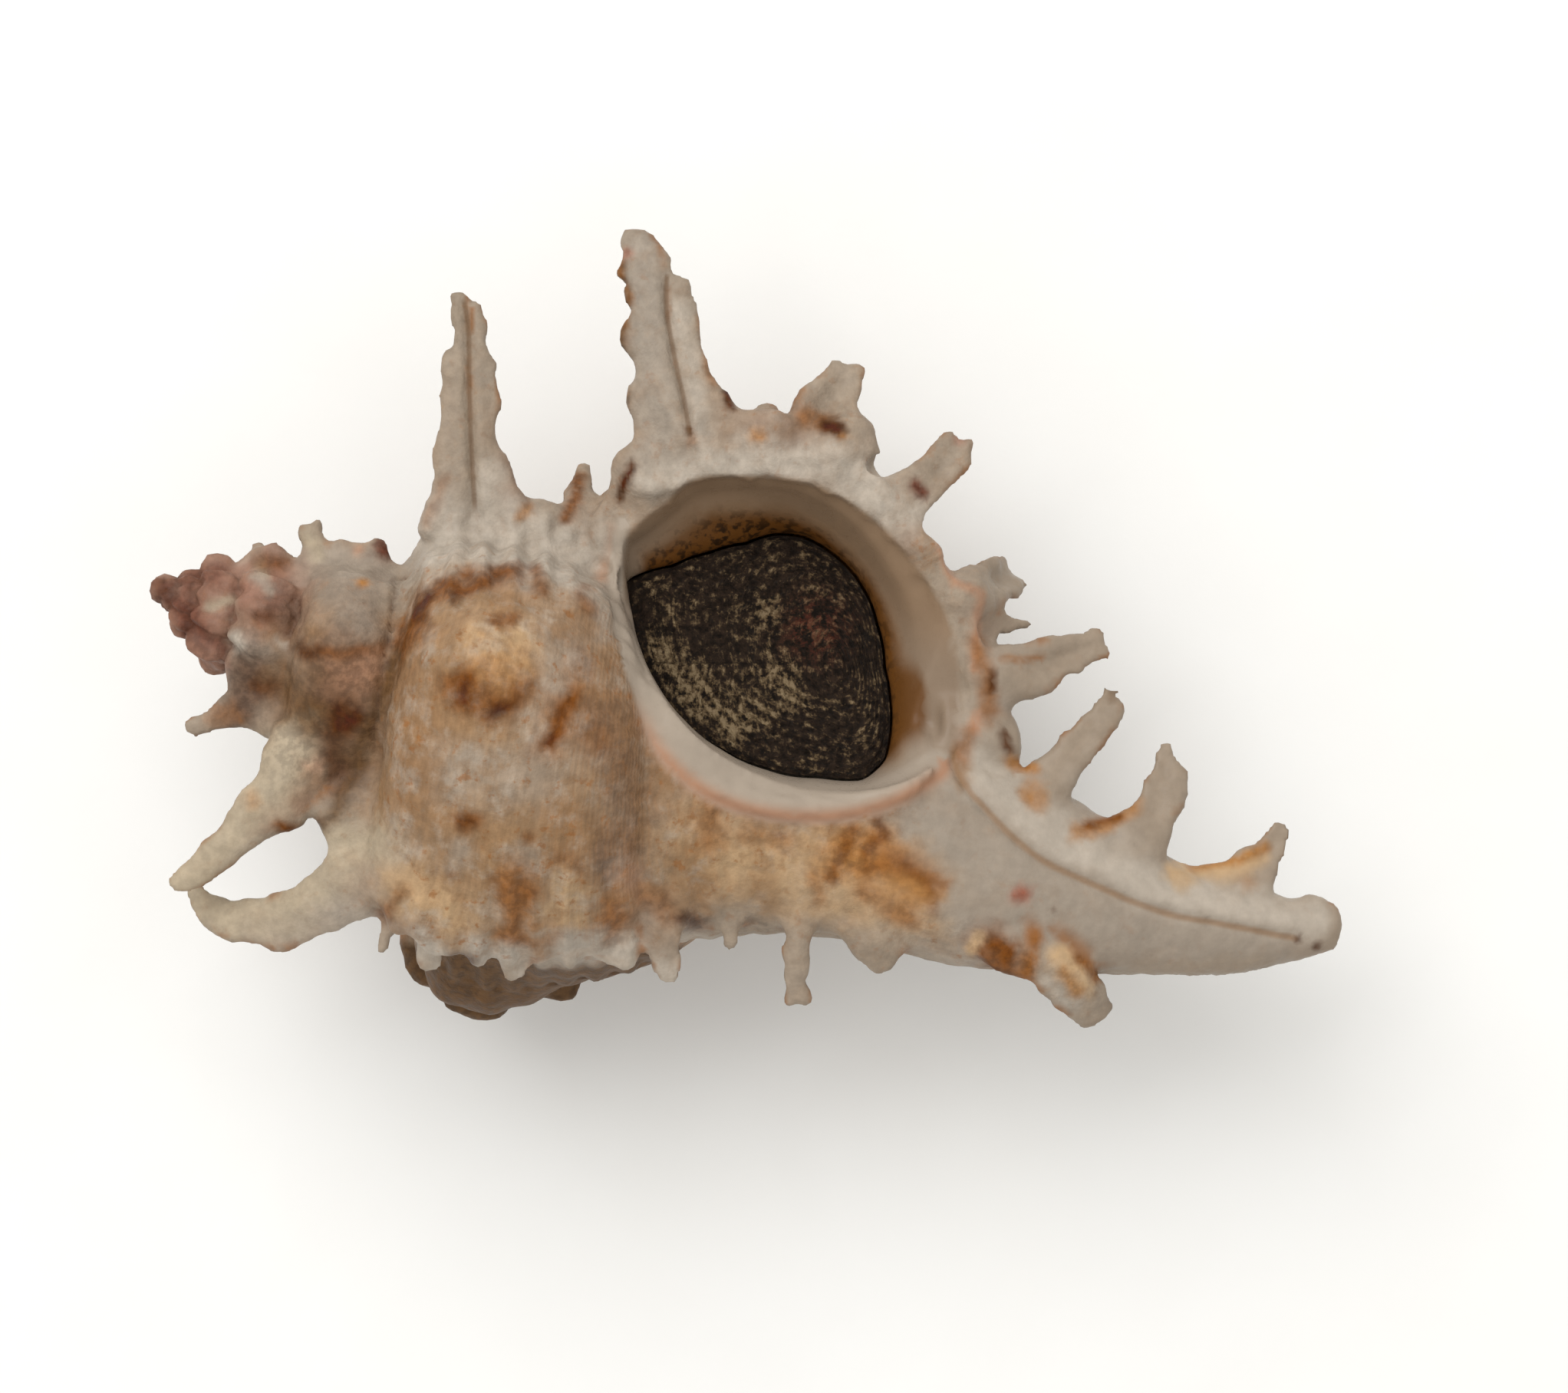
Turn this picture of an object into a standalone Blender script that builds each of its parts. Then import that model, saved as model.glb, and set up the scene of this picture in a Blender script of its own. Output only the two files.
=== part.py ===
"""A murex shell and its operculum, lying on its back with the opening up. Metres, +Z up.

The shell is one piece, as it grew: a tube coiled round an axis, its neck and canal, and the spines
of its varices, fused together and then hollowed from the opening. The operculum is the horny lid
that stands in the opening.
"""

import math

import bmesh
import bpy
import numpy as np
from mathutils import Matrix, Vector

MM = 0.001

# The axis of the coil, in millimetres and degrees. It lies level, and seen from above it falls to the right.
APEX_X = -48.1
APEX_Y = 3.9
AXIS_HEIGHT = 25.4
AXIS_FALL = 20.0

# The coiled tube at the lip: the radius and station of its middle, and half its width and length
TUBE_RADIUS = 13.0
TUBE_STATION = 48.8
TUBE_HALF_WIDTH = 13.6
TUBE_HALF_LENGTH = 17.9
LIP_BEARING = 80.0

# What each of these grows by in one turn
RADIUS_GROWTH = 1.85
STATION_GROWTH = 1.72
SIZE_GROWTH = 1.80
EARLY_WIDENING = 0.2
FIRST_SHELL = 2230.0

# Varices and knobs, in degrees of growth back from the lip
VARICES = (0.0, 112.0, 212.0)
SPIRE_VARICES_END = 1300.0
VARIX_SWELL = 0.33
KNOBS = ((70.0, 14.0, 0.55), (168.0, 9.0, 0.60), (292.0, 18.0, 0.26))
RIBS_PER_TURN = 7
RIB_SWELL = 0.10

# The hollow: the wall at the lip and deeper in, where it ends, and the edge of the opening from above. The outer
# edge is level with the lip, and the band inside it slopes down to the inner edge.
LIP_WALL = 4.6
DEEP_WALL = 3.0
HOLLOW_END = 130.0
OPENING_MIDDLE = (48.7, 12.4)
OPENING_EDGE = [
    (-10.2, 7.8), (-8.9, 10.4), (-4.5, 13.2), (1.6, 14.0), (6.6, 13.0), (9.7, 11.2), (12.8, 8.3), (14.5, 5.3),
    (16.5, 3.2), (17.6, 0.8), (17.8, -4.6), (17.0, -8.3), (15.6, -10.4), (13.6, -11.6), (11.6, -12.3),
    (9.0, -12.7), (5.3, -12.7), (1.8, -11.8), (-1.6, -10.1), (-4.4, -7.9), (-6.7, -5.0), (-8.5, -1.8),
    (-9.6, 1.6), (-10.1, 4.8),
]
INNER_EDGE = [
    (-9.9, 7.6), (-7.8, 10.3), (-3.9, 11.6), (3.0, 12.0), (8.7, 9.2), (12.4, 4.2), (14.7, -2.7), (15.0, -8.0),
    (14.0, -10.8), (11.6, -12.0), (9.0, -12.4), (5.3, -12.4), (2.0, -11.5), (-1.4, -9.8), (-4.2, -7.6),
    (-6.5, -4.8), (-8.3, -1.8), (-9.4, 1.6), (-9.9, 4.8),
]
INNER_LIP = [
    (-11.3, 9.6, 28.8), (-11.6, 7.7, 29.2), (-11.2, 4.6, 30.4), (-10.6, 1.5, 32.6), (-9.5, -2.2, 34.4),
    (-7.7, -5.6, 35.0), (-5.3, -8.7, 35.1), (-2.2, -11.1, 34.5), (1.6, -12.8, 33.5), (5.3, -13.7, 32.7),
    (9.1, -13.8, 31.9), (12.3, -13.0, 31.2), (15.1, -11.2, 29.8),
]
INNER_LIP_RADIUS = 1.25

# The operculum: its edge as (station, side) from the middle of the opening, its rise there, its slope
OPERCULUM_EDGE = [
    (-12.6, -0.1), (-8.6, 4.9), (-3.2, 8.6), (1.4, 8.8), (6.2, 6.2), (10.1, 2.2), (12.2, -2.8), (11.9, -6.2),
    (7.9, -8.0), (1.6, -8.8), (-4.2, -7.3), (-8.4, -4.8), (-11.4, -2.6),
]
OPERCULUM_RISE = -0.7
OPERCULUM_SLOPE = -0.33
OPERCULUM_DOME = 0.5
OPERCULUM_THICKNESS = 1.8
OPERCULUM_GAP = 0.5

# How fine the solids are
FUSING_STEP = 0.5
SHELL_TRIANGLES = 7000

SHELL_COLOUR = (0.62, 0.47, 0.32, 1.0)
OPERCULUM_COLOUR = (0.035, 0.02, 0.012, 1.0)


def place(station, side, rise):
    """World points in millimetres from the station along the axis, the side of the lip and the rise above the axis."""
    fall = math.radians(AXIS_FALL)
    x = APEX_X + station * math.cos(fall) + side * math.sin(fall)
    y = APEX_Y - station * math.sin(fall) + side * math.cos(fall)
    return np.stack(np.broadcast_arrays(x, y, AXIS_HEIGHT + rise), axis=-1)


def around(station, radius, bearing):
    """World points at this distance from the axis, at a bearing in degrees from straight up towards the lip."""
    turn = np.radians(bearing)
    return place(station, radius * np.sin(turn), radius * np.cos(turn))


def bump(distance, width):
    return np.exp(-((distance / width) ** 2))


def wrapped(angle):
    return (angle + 180.0) % 360.0 - 180.0


def varix_shape(back):
    """A varix across the growth: it swells slowly, stops at its lip, and the next shell starts inside it."""
    swell = bump(back, 14.0)
    step = np.clip(-back / 6.0, 0.0, 1.0)
    step = step * step * (3.0 - 2.0 * step)
    dip = -0.65 * np.exp(np.minimum(back + 6.0, 0.0) / 16.0)
    return np.where(back > 0.0, swell, (1.0 - step) + step * dip)


def relief(growth, around_tube):
    """How far the tube's surface stands out, as a share of its half width. The angle round the tube is 0 outward and 90 towards the apex."""
    shoulder = 0.07 * bump(wrapped(around_tube - 40.0), 20.0) - 0.05 * bump(wrapped(around_tube - 84.0), 24.0)
    facing = bump(wrapped(around_tube - 20.0), 34.0)
    total = shoulder
    turns = int(SPIRE_VARICES_END // 360) + 1
    for turn in range(turns + 1):
        for varix in VARICES:
            at = varix + 360.0 * turn
            if at < SPIRE_VARICES_END:
                total = total + VARIX_SWELL * facing * varix_shape(growth - at)
        for knob, height_angle, swell in KNOBS:
            at = knob + 360.0 * turn
            if at < SPIRE_VARICES_END:
                near = bump(growth - at, 15.0) * bump(wrapped(around_tube - height_angle), 21.0)
                total = total + swell * near
    early = np.clip((growth - SPIRE_VARICES_END) / 120.0, 0.0, 1.0)
    ribs = np.cos(np.radians(growth * RIBS_PER_TURN))
    return total + early * RIB_SWELL * ribs * facing


def tube_points(growth, around_tube, inset=0.0, carved=True):
    """Points of the coiled tube, or of one smaller by inset millimetres."""
    turns = growth / 360.0
    early = 1.0 + EARLY_WIDENING * np.maximum(turns - 2.0, 0.0) ** 1.5
    size = early * SIZE_GROWTH ** -turns
    ring = 1.0 + (relief(growth, around_tube) if carved else 0.0)
    turn = np.radians(around_tube)
    radius = early * TUBE_RADIUS * RADIUS_GROWTH ** -turns
    radius = radius + (TUBE_HALF_WIDTH * size * ring - inset) * np.cos(turn)
    station = TUBE_STATION * STATION_GROWTH ** -turns - (TUBE_HALF_LENGTH * size * ring - inset) * np.sin(turn)
    return around(station, radius, LIP_BEARING + growth)


def smooth_through(points, count):
    """A Catmull-Rom curve through rows of numbers, as count rows."""
    rows = np.array(points, float)
    padded = np.vstack([2 * rows[0] - rows[1], rows, 2 * rows[-1] - rows[-2]])
    where = np.linspace(0.0, len(rows) - 1.000001, count)
    start = where.astype(int)
    t = (where - start)[:, None]
    a, b, c, d = (padded[start + k] for k in range(4))
    return 0.5 * (2 * b + (c - a) * t + (2 * a - 5 * b + 4 * c - d) * t**2 + (3 * b - a - 3 * c + d) * t**3)


def loft(rings):
    """A closed bmesh skin over rings of points in millimetres, capped at both ends."""
    skin = bmesh.new()
    loops = [[skin.verts.new(point) for point in ring] for ring in rings]
    for lower, upper in zip(loops, loops[1:]):
        for k in range(len(lower)):
            following = (k + 1) % len(lower)
            skin.faces.new((lower[k], lower[following], upper[following], upper[k]))
    for end in (loops[0], loops[-1]):
        middle = skin.verts.new(sum((v.co for v in end), Vector()) / len(end))
        for k in range(len(end)):
            skin.faces.new((end[k], end[(k + 1) % len(end)], middle))
    bmesh.ops.recalc_face_normals(skin, faces=skin.faces)
    return skin


def as_object(name, skin, collection):
    mesh = bpy.data.meshes.new(name)
    skin.to_mesh(mesh)
    skin.free()
    thing = bpy.data.objects.new(name, mesh)
    collection.objects.link(thing)
    return thing


def coiled_tube():
    growth = np.arange(0.0, FIRST_SHELL, 5.0)[::-1]
    around_tube = np.arange(0.0, 360.0, 7.5)
    return loft([tube_points(np.full_like(around_tube, g), around_tube) for g in growth])


def hollow_tube():
    """The inside of the tube, from below the opening back to the closed end of the hollow."""
    around_tube = np.arange(0.0, 360.0, 15.0)
    rings = []
    for growth in np.arange(2.0, HOLLOW_END + 1.0, 6.4):
        wall = LIP_WALL + (DEEP_WALL - LIP_WALL) * np.clip(growth / 40.0, 0.0, 1.0)
        closing = np.clip((growth - HOLLOW_END + 40.0) / 40.0, 0.0, 1.0)
        rings.append(
            tube_points(np.full_like(around_tube, growth), around_tube, wall + 5.0 * closing**2, carved=False)
        )
    return loft(rings)


def reach_of(outline, turn):
    """How far an outline round the middle of the opening reaches in each direction."""
    station, side = np.array(outline, float).T
    angle = np.arctan2(side, station)
    order = np.argsort(angle)
    return np.interp(turn, angle[order], np.hypot(station, side)[order], period=2 * math.pi)


def from_opening(outline):
    """An outline of the opening in plan, as (station, side) from the middle of the opening."""
    fall = math.radians(AXIS_FALL)
    x, y = (np.array(outline) - (APEX_X, APEX_Y)).T
    station = x * math.cos(fall) - y * math.sin(fall) - OPENING_MIDDLE[0]
    side = x * math.sin(fall) + y * math.cos(fall) - OPENING_MIDDLE[1]
    return list(zip(station, side))


def opening_ring(turn, reach, rise, slope):
    """A ring of points over the middle of the opening, sloping across it."""
    side = reach * np.sin(turn)
    return place(OPENING_MIDDLE[0] + reach * np.cos(turn), OPENING_MIDDLE[1] + side, rise + slope * side)


def mouth():
    """The open space over the hollow: rise, share of the outer edge, share of the operculum's edge, slope, inset."""
    turn = np.radians(np.arange(0.0, 360.0, 9.0))
    outer = reach_of(from_opening(OPENING_EDGE), turn)
    inner = reach_of(from_opening(INNER_EDGE), turn)
    lid = reach_of(OPERCULUM_EDGE, turn) + OPERCULUM_GAP
    rings = []
    for rise, to_outer, to_lid, slope, inset in (
        (26.0, 1.0, 0.0, 0.0, 0.0), (6.0, 1.0, 0.0, 0.0, 0.0), (4.6, 0.72, 0.0, 0.1, 0.0), (3.0, 0.08, 0.0, 0.4, 0.0),
        (2.0, 0.0, 0.25, 0.8, 0.0), (0.8, 0.0, 0.75, 1.0, 0.0), (-0.4, 0.0, 1.0, 1.0, 0.0),
        (-4.0, 0.0, 1.0, 1.0, 0.0), (-7.0, 0.0, 1.0, 1.0, 3.0),
    ):
        reach = (outer * to_outer + inner * (1.0 - to_outer)) * (1.0 - to_lid) + lid * to_lid - inset
        rings.append(opening_ring(turn, reach, rise, slope * OPERCULUM_SLOPE))
    return loft(rings)


def floor():
    """The level that the spines below are worn down to."""
    corners = np.array([(-60.0, -50.0), (60.0, -50.0), (60.0, 50.0), (-60.0, 50.0)])
    return loft([np.column_stack([corners, np.full(4, height)]) for height in (-20.0, 0.0)])


def inner_lip():
    """The glossy lip on the body side of the opening, a rounded cord."""
    turn = np.radians(np.arange(0.0, 360.0, 30.0))
    line = smooth_through(INNER_LIP, 40)
    ahead = np.gradient(line, axis=0)
    ahead /= np.linalg.norm(ahead, axis=1)[:, None]
    rings = []
    for k, middle in enumerate(line):
        across = np.cross(ahead[k], (0.0, 0.0, 1.0))
        across /= np.linalg.norm(across)
        upward = np.cross(across, ahead[k])
        ends = min(1.0, 0.35 + 0.14 * min(k, len(line) - 1 - k))
        radius = INNER_LIP_RADIUS * ends
        rings.append(middle + np.outer(np.cos(turn) * radius, across) + np.outer(np.sin(turn) * radius, upward))
    return loft(rings)


def operculum_plate():
    """The lid: domed above, flat below, with a rounded edge."""
    turn = np.radians(np.arange(0.0, 360.0, 11.25))
    edge = reach_of(OPERCULUM_EDGE, turn)
    rings = []
    for share, drop in (
        (0.2, 0.0), (0.45, 0.0), (0.7, 0.0), (0.88, 0.0), (0.97, 0.25), (1.0, 0.7), (1.0, 1.2),
        (0.97, 1.6), (0.85, 1.8), (0.5, 1.8), (0.2, 1.8),
    ):
        dome = OPERCULUM_DOME * (1.0 - share**2)
        drop = drop * OPERCULUM_THICKNESS / 1.8
        rings.append(opening_ring(turn, edge * share, OPERCULUM_RISE + dome - drop, OPERCULUM_SLOPE))
    return loft(rings)


def neck():
    """The neck below the body whorl and the siphonal canal: station, side, rise, half width and half thickness."""
    stations = smooth_through(
        [
            (36.0, 0.0, 0.0, 9.0, 8.0),
            (43.3, 0.0, 0.0, 14.6, 11.0),
            (50.7, 0.6, 0.0, 12.6, 8.6),
            (55.6, 1.1, 0.0, 10.8, 7.6),
            (62.9, 1.6, 0.0, 9.3, 6.6),
            (70.2, 1.6, -0.2, 8.5, 5.8),
            (76.9, 1.9, -0.6, 7.2, 5.0),
            (85.2, 2.5, -1.4, 5.0, 3.8),
            (92.4, 3.8, -2.4, 3.7, 2.8),
            (97.6, 5.6, -3.3, 2.3, 1.9),
            (99.4, 6.4, -3.6, 1.6, 1.4),
        ],
        34,
    )
    turn = np.radians(np.arange(0.0, 360.0, 12.0))
    return loft(
        [place(np.full_like(turn, s), side + w * np.cos(turn), rise + t * np.sin(turn)) for s, side, rise, w, t in stations]
    )


def frond(points, thickness=0.5, gutter=0.0):
    """A spine through points in millimetres, each (x, y, z, half width), flattened across its growing face."""
    rows = smooth_through(points, 3 * len(points))
    line, width = rows[:, :3], np.maximum(rows[:, 3], 0.3)
    ahead = np.gradient(line, axis=0)
    ahead /= np.linalg.norm(ahead, axis=1)[:, None]
    across = np.cross(ahead, (0.0, 0.0, 1.0))
    across /= np.linalg.norm(across, axis=1)[:, None] + 1e-9
    front = np.cross(across, ahead)
    turn = np.radians(np.arange(0.0, 360.0, 24.0))
    rings = []
    for k in range(len(rows)):
        depth = np.maximum(width[k] * thickness, 0.45)
        lift = np.sin(turn) * depth
        lift = np.where(lift > 0, lift * (1.0 - gutter * bump(np.cos(turn), 0.6)), lift)
        rings.append(line[k] + np.outer(np.cos(turn) * width[k], across[k]) + np.outer(lift, front[k]))
    return loft(rings)


def radial_frond(station, bearing, root, tip, half_width, lean=0.0, turn_back=0.0, thickness=0.5):
    """A spine that stands out from the axis at a bearing, from radius root to tip, leaning along the axis and turning back round it."""
    rows = []
    for share in (0.0, 0.35, 0.7, 1.0):
        point = around(station + lean * share, root + (tip - root) * share, bearing + turn_back * share**2)
        rows.append((*point, half_width * (1.0 - 0.72 * share)))
    return frond(rows, thickness)


# The spines that the photograph shows: (x, y, z, half width) in millimetres, from root to tip
LIP_FRONDS = {
    "shoulder_spine": [
        (-5.0, 11.4, 29.0, 4.6), (-5.0, 14.6, 28.9, 4.1), (-5.3, 19.7, 28.4, 4.0), (-6.2, 21.5, 28.2, 3.4),
        (-6.7, 24.0, 27.9, 2.9), (-6.4, 26.0, 27.5, 2.3), (-7.1, 28.4, 26.9, 2.5), (-8.3, 30.2, 26.3, 2.1),
        (-9.1, 31.6, 25.8, 1.8), (-10.0, 32.4, 25.4, 0.6),
    ],
    "upper_frond": [
        (6.9, 13.9, 29.0, 4.3), (6.9, 15.5, 28.9, 3.6), (7.0, 17.3, 28.6, 2.6), (7.2, 18.3, 28.4, 2.3),
        (7.9, 19.8, 28.0, 2.0), (8.2, 21.8, 27.3, 1.5),
    ],
    "upper_spur": [(1.6, 15.6, 28.2, 2.2), (1.6, 17.4, 27.6, 1.0), (1.2, 18.2, 27.4, 0.4)],
    "outer_frond": [
        (12.1, 9.9, 28.4, 2.6), (13.6, 11.4, 28.2, 2.1), (14.7, 12.3, 28.0, 1.8), (16.0, 14.1, 27.6, 1.6),
        (17.1, 15.6, 27.0, 1.3), (17.4, 16.7, 26.6, 0.8),
    ],
    "outer_spur": [(9.4, 12.0, 28.0, 1.6), (10.3, 13.6, 27.6, 0.6)],
    "bent_frond": [(17.0, 2.8, 27.8, 2.6), (18.9, 3.8, 26.4, 2.3), (20.7, 4.5, 23.8, 2.0), (21.6, 5.1, 20.6, 1.6)],
    "bent_spur": [(18.4, 0.2, 26.6, 1.6), (20.6, 0.6, 25.4, 1.1), (23.1, 0.8, 24.0, 0.6)],
    "side_frond": [(17.6, -4.2, 27.6, 3.1), (21.4, -3.4, 27.2, 2.7), (24.5, -2.3, 26.6, 1.9), (26.7, -1.5, 26.0, 1.6), (28.9, -0.7, 25.2, 1.1)],
    "lower_frond": [(22.4, -14.3, 26.8, 3.2), (25.0, -11.1, 26.8, 1.9), (27.1, -8.7, 26.7, 1.7), (29.0, -6.5, 26.4, 1.5), (30.3, -4.2, 26.0, 0.9)],
    "side_web": [(15.5, -8.4, 27.0, 4.0), (19.4, -8.6, 26.8, 3.4), (21.8, -8.8, 26.6, 2.2)],
    "canal_frond": [
        (30.2, -18.8, 25.8, 4.0), (31.3, -16.9, 25.8, 3.1), (32.5, -15.3, 25.7, 2.1), (33.5, -13.9, 25.5, 1.9),
        (34.4, -11.7, 25.0, 1.7), (35.0, -9.4, 24.4, 1.3),
    ],
    "end_frond": [(37.6, -21.7, 23.8, 3.4), (40.3, -19.7, 23.8, 2.3), (42.1, -17.9, 23.6, 1.7), (43.4, -16.4, 23.2, 1.2), (44.1, -15.2, 22.8, 0.6)],
    "canal_end": [(44.4, -23.2, 22.6, 2.8), (46.6, -23.8, 22.1, 1.9), (48.1, -23.9, 21.8, 1.5)],
}
SPIRE_FRONDS = {
    "old_shoulder_spine": [
        (-21.4, 7.7, 28.2, 4.6), (-21.5, 11.1, 28.2, 3.7), (-22.1, 13.2, 28.0, 2.6), (-22.3, 16.2, 27.8, 2.5),
        (-22.5, 20.2, 27.4, 2.5), (-22.5, 22.3, 27.0, 2.0), (-22.4, 24.0, 26.7, 1.6), (-22.8, 26.0, 26.2, 1.3),
        (-23.2, 27.6, 25.8, 0.6),
    ],
    "old_frond": [(-13.2, 9.0, 25.5, 1.8), (-13.6, 11.4, 23.8, 1.2), (-13.1, 14.1, 22.2, 0.7)],
    "old_flange": [(-17.6, 5.6, 27.0, 4.2), (-17.0, 8.6, 26.6, 3.6), (-16.6, 10.6, 26.2, 2.4)],
    "older_spine": [(-34.6, 4.6, 27.2, 1.9), (-35.0, 7.0, 26.6, 1.1), (-35.3, 8.7, 26.0, 0.6)],
    "oldest_spine": [(-39.9, 4.6, 26.0, 1.1), (-39.3, 7.4, 24.6, 0.6)],
}
LEFT_FRONDS = {
    "left_shoulder_spine": [
        (-25.2, -16.9, 31.6, 4.2), (-30.5, -19.5, 31.2, 3.4), (-33.6, -21.5, 30.4, 2.7), (-36.4, -22.9, 29.4, 2.4),
        (-39.2, -23.3, 28.3, 2.1), (-41.6, -22.9, 27.4, 1.7), (-43.7, -21.8, 26.6, 1.2), (-44.9, -20.4, 26.0, 0.6),
    ],
    "left_web": [(-27.6, -13.5, 30.4, 4.8), (-31.2, -15.0, 30.8, 3.8), (-33.9, -16.0, 31.0, 2.6)],
    "older_web": [(-35.6, -3.6, 28.0, 3.4), (-37.8, -6.4, 28.4, 2.6), (-38.8, -8.4, 28.6, 1.8)],
    "left_spur": [(-27.6, -21.0, 31.4, 1.8), (-28.8, -24.0, 31.0, 0.8), (-29.5, -25.9, 30.8, 0.4)],
    "left_frill_1": [(-24.8, -22.0, 31.6, 2.3), (-25.4, -24.6, 31.6, 1.3), (-25.6, -27.0, 31.4, 0.7)],
    "left_frill_2": [(-17.9, -22.6, 31.6, 2.6), (-18.0, -25.6, 31.6, 1.6), (-18.0, -27.9, 31.2, 0.9)],
    "left_frill_3": [(-11.6, -22.4, 31.0, 2.8), (-11.4, -25.6, 31.0, 1.4), (-11.2, -27.0, 30.8, 0.7)],
    "left_frill_4": [(-6.9, -22.6, 30.4, 1.9), (-6.5, -26.2, 30.2, 1.2), (-6.2, -28.2, 30.0, 0.7)],
    "left_frill_5": [(-1.6, -20.4, 29.6, 1.7), (-1.3, -23.6, 29.2, 1.1), (-1.3, -25.6, 28.8, 0.8)],
    "left_frond": [(4.1, -19.6, 29.4, 2.6), (4.1, -23.4, 29.0, 1.5), (4.1, -26.6, 28.4, 1.2), (4.1, -29.8, 27.8, 1.1)],
    "left_lobe": [(9.9, -22.6, 28.6, 3.4), (10.6, -25.4, 28.2, 2.1), (10.9, -27.4, 27.8, 0.8)],
    "old_canal": [(17.4, -21.6, 26.4, 2.6), (20.8, -24.1, 26.0, 2.4), (23.9, -26.0, 25.4, 2.2), (26.4, -28.2, 24.6, 2.2), (28.6, -31.4, 23.4, 1.8)],
    "older_left_spine": [
        (-34.6, -8.6, 30.4, 3.8), (-36.8, -12.7, 31.0, 2.9), (-39.2, -14.8, 31.4, 2.3), (-40.9, -16.5, 31.5, 1.9),
        (-42.9, -18.2, 31.4, 1.6), (-44.7, -19.6, 31.1, 1.2), (-46.2, -20.2, 30.8, 0.6),
    ],
    "oldest_left_spine": [(-39.4, -5.2, 28.2, 2.2), (-41.6, -6.4, 28.2, 1.4), (-43.5, -7.2, 28.0, 1.0), (-45.3, -7.8, 27.6, 0.6)],
}

# The spines of the hidden varices: station, bearing, root and tip radius, half width, lean, turn back
BACK_FRONDS = (
    (36.0, 198.0, 19.0, 29.4, 3.6, -4.0, 12.0),
    (43.5, 192.0, 17.0, 27.4, 3.4, 0.0, 4.0),
    (50.5, 190.0, 11.0, 27.4, 3.0, 1.0, 2.0),
    (57.5, 184.0, 7.0, 27.0, 3.2, 2.0, 2.0),
    (65.0, 190.0, 5.0, 18.0, 2.2, 3.0, 4.0),
    (20.0, 200.0, 10.0, 24.0, 2.6, -4.0, 12.0),
    (26.0, 196.0, 11.0, 17.0, 1.8, 0.0, 4.0),
    (11.5, 200.0, 5.5, 12.0, 1.3, -2.5, 10.0),
)


def fused(name, skins, step, collection):
    """One closed skin from overlapping ones, softened where they meet."""
    joined = bmesh.new()
    for skin in skins:
        part = bpy.data.meshes.new("part")
        skin.to_mesh(part)
        skin.free()
        joined.from_mesh(part)
        bpy.data.meshes.remove(part)
    body = as_object(name, joined, collection)
    remesh = body.modifiers.new("fuse", "REMESH")
    remesh.mode = "VOXEL"
    remesh.voxel_size = step
    soften = body.modifiers.new("soften", "SMOOTH")
    soften.factor = 0.5
    soften.iterations = 4
    return body


def applied(thing):
    """Puts the evaluated mesh in place of the object's own, with its modifiers used up."""
    bpy.context.view_layer.update()
    graph = bpy.context.evaluated_depsgraph_get()
    mesh = bpy.data.meshes.new_from_object(thing.evaluated_get(graph))
    thing.modifiers.clear()
    thing.data = mesh
    return thing


def as_cutter(name, skin, collection):
    cutter = as_object(name, skin, collection)
    cutter.hide_render = True
    cutter.display_type = "WIRE"
    return cutter


def boolean(thing, other, operation):
    cut = thing.modifiers.new(operation.lower(), "BOOLEAN")
    cut.operation = operation
    cut.object = other
    return applied(thing)


def material(name, colour, roughness):
    finish = bpy.data.materials.new(name)
    finish.use_nodes = True
    shader = finish.node_tree.nodes["Principled BSDF"]
    shader.inputs["Base Color"].default_value = colour
    shader.inputs["Roughness"].default_value = roughness
    return finish


def build_shell(parts, cutters):
    skins = [coiled_tube(), neck(), inner_lip()]
    for group in (LIP_FRONDS, SPIRE_FRONDS, LEFT_FRONDS):
        skins += [frond(points) for points in group.values()]
    skins += [radial_frond(*row) for row in BACK_FRONDS]
    shell = applied(fused("shell", skins, FUSING_STEP, parts))
    thin = shell.modifiers.new("thin", "DECIMATE")
    thin.ratio = SHELL_TRIANGLES / (2 * len(shell.data.polygons))
    applied(shell)
    for name, skin in (("mouth", mouth()), ("hollow_tube", hollow_tube()), ("floor", floor())):
        boolean(shell, as_cutter(name, skin, cutters), "DIFFERENCE")
    return shell


def build_operculum(parts):
    return as_object("operculum", operculum_plate(), parts)


def finish(thing, look):
    """Scales from millimetres to metres and gives the object its material."""
    thing.data.transform(Matrix.Scale(MM, 4))
    thing.data.materials.clear()
    thing.data.materials.append(look)
    thing.data.shade_smooth()
    thing.data.set_sharp_from_angle(angle=math.radians(40))


def main():
    for old in list(bpy.data.objects):
        bpy.data.objects.remove(old)
    parts = bpy.data.collections.new("murex_shell")
    cutters = bpy.data.collections.new("cutters")
    cutters.hide_render = True
    for collection in (parts, cutters):
        bpy.context.scene.collection.children.link(collection)
    finish(build_shell(parts, cutters), material("shell", SHELL_COLOUR, 0.45))
    finish(build_operculum(parts), material("operculum", OPERCULUM_COLOUR, 0.35))


main()
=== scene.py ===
"""A murex shell with its operculum, lying on its back on a pale floor and seen from straight above.

Lengths in the tables and functions are in millimetres in the row frame, and the finished pieces are
scaled to metres. The shell is grown as a coiled tube, a neck and the spines of its varices, fused,
hollowed from the opening and then carved and coloured by where each point lies on the growing shell.
"""

import math

import bmesh
import bpy
import numpy as np
from mathutils import Matrix, Vector


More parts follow.
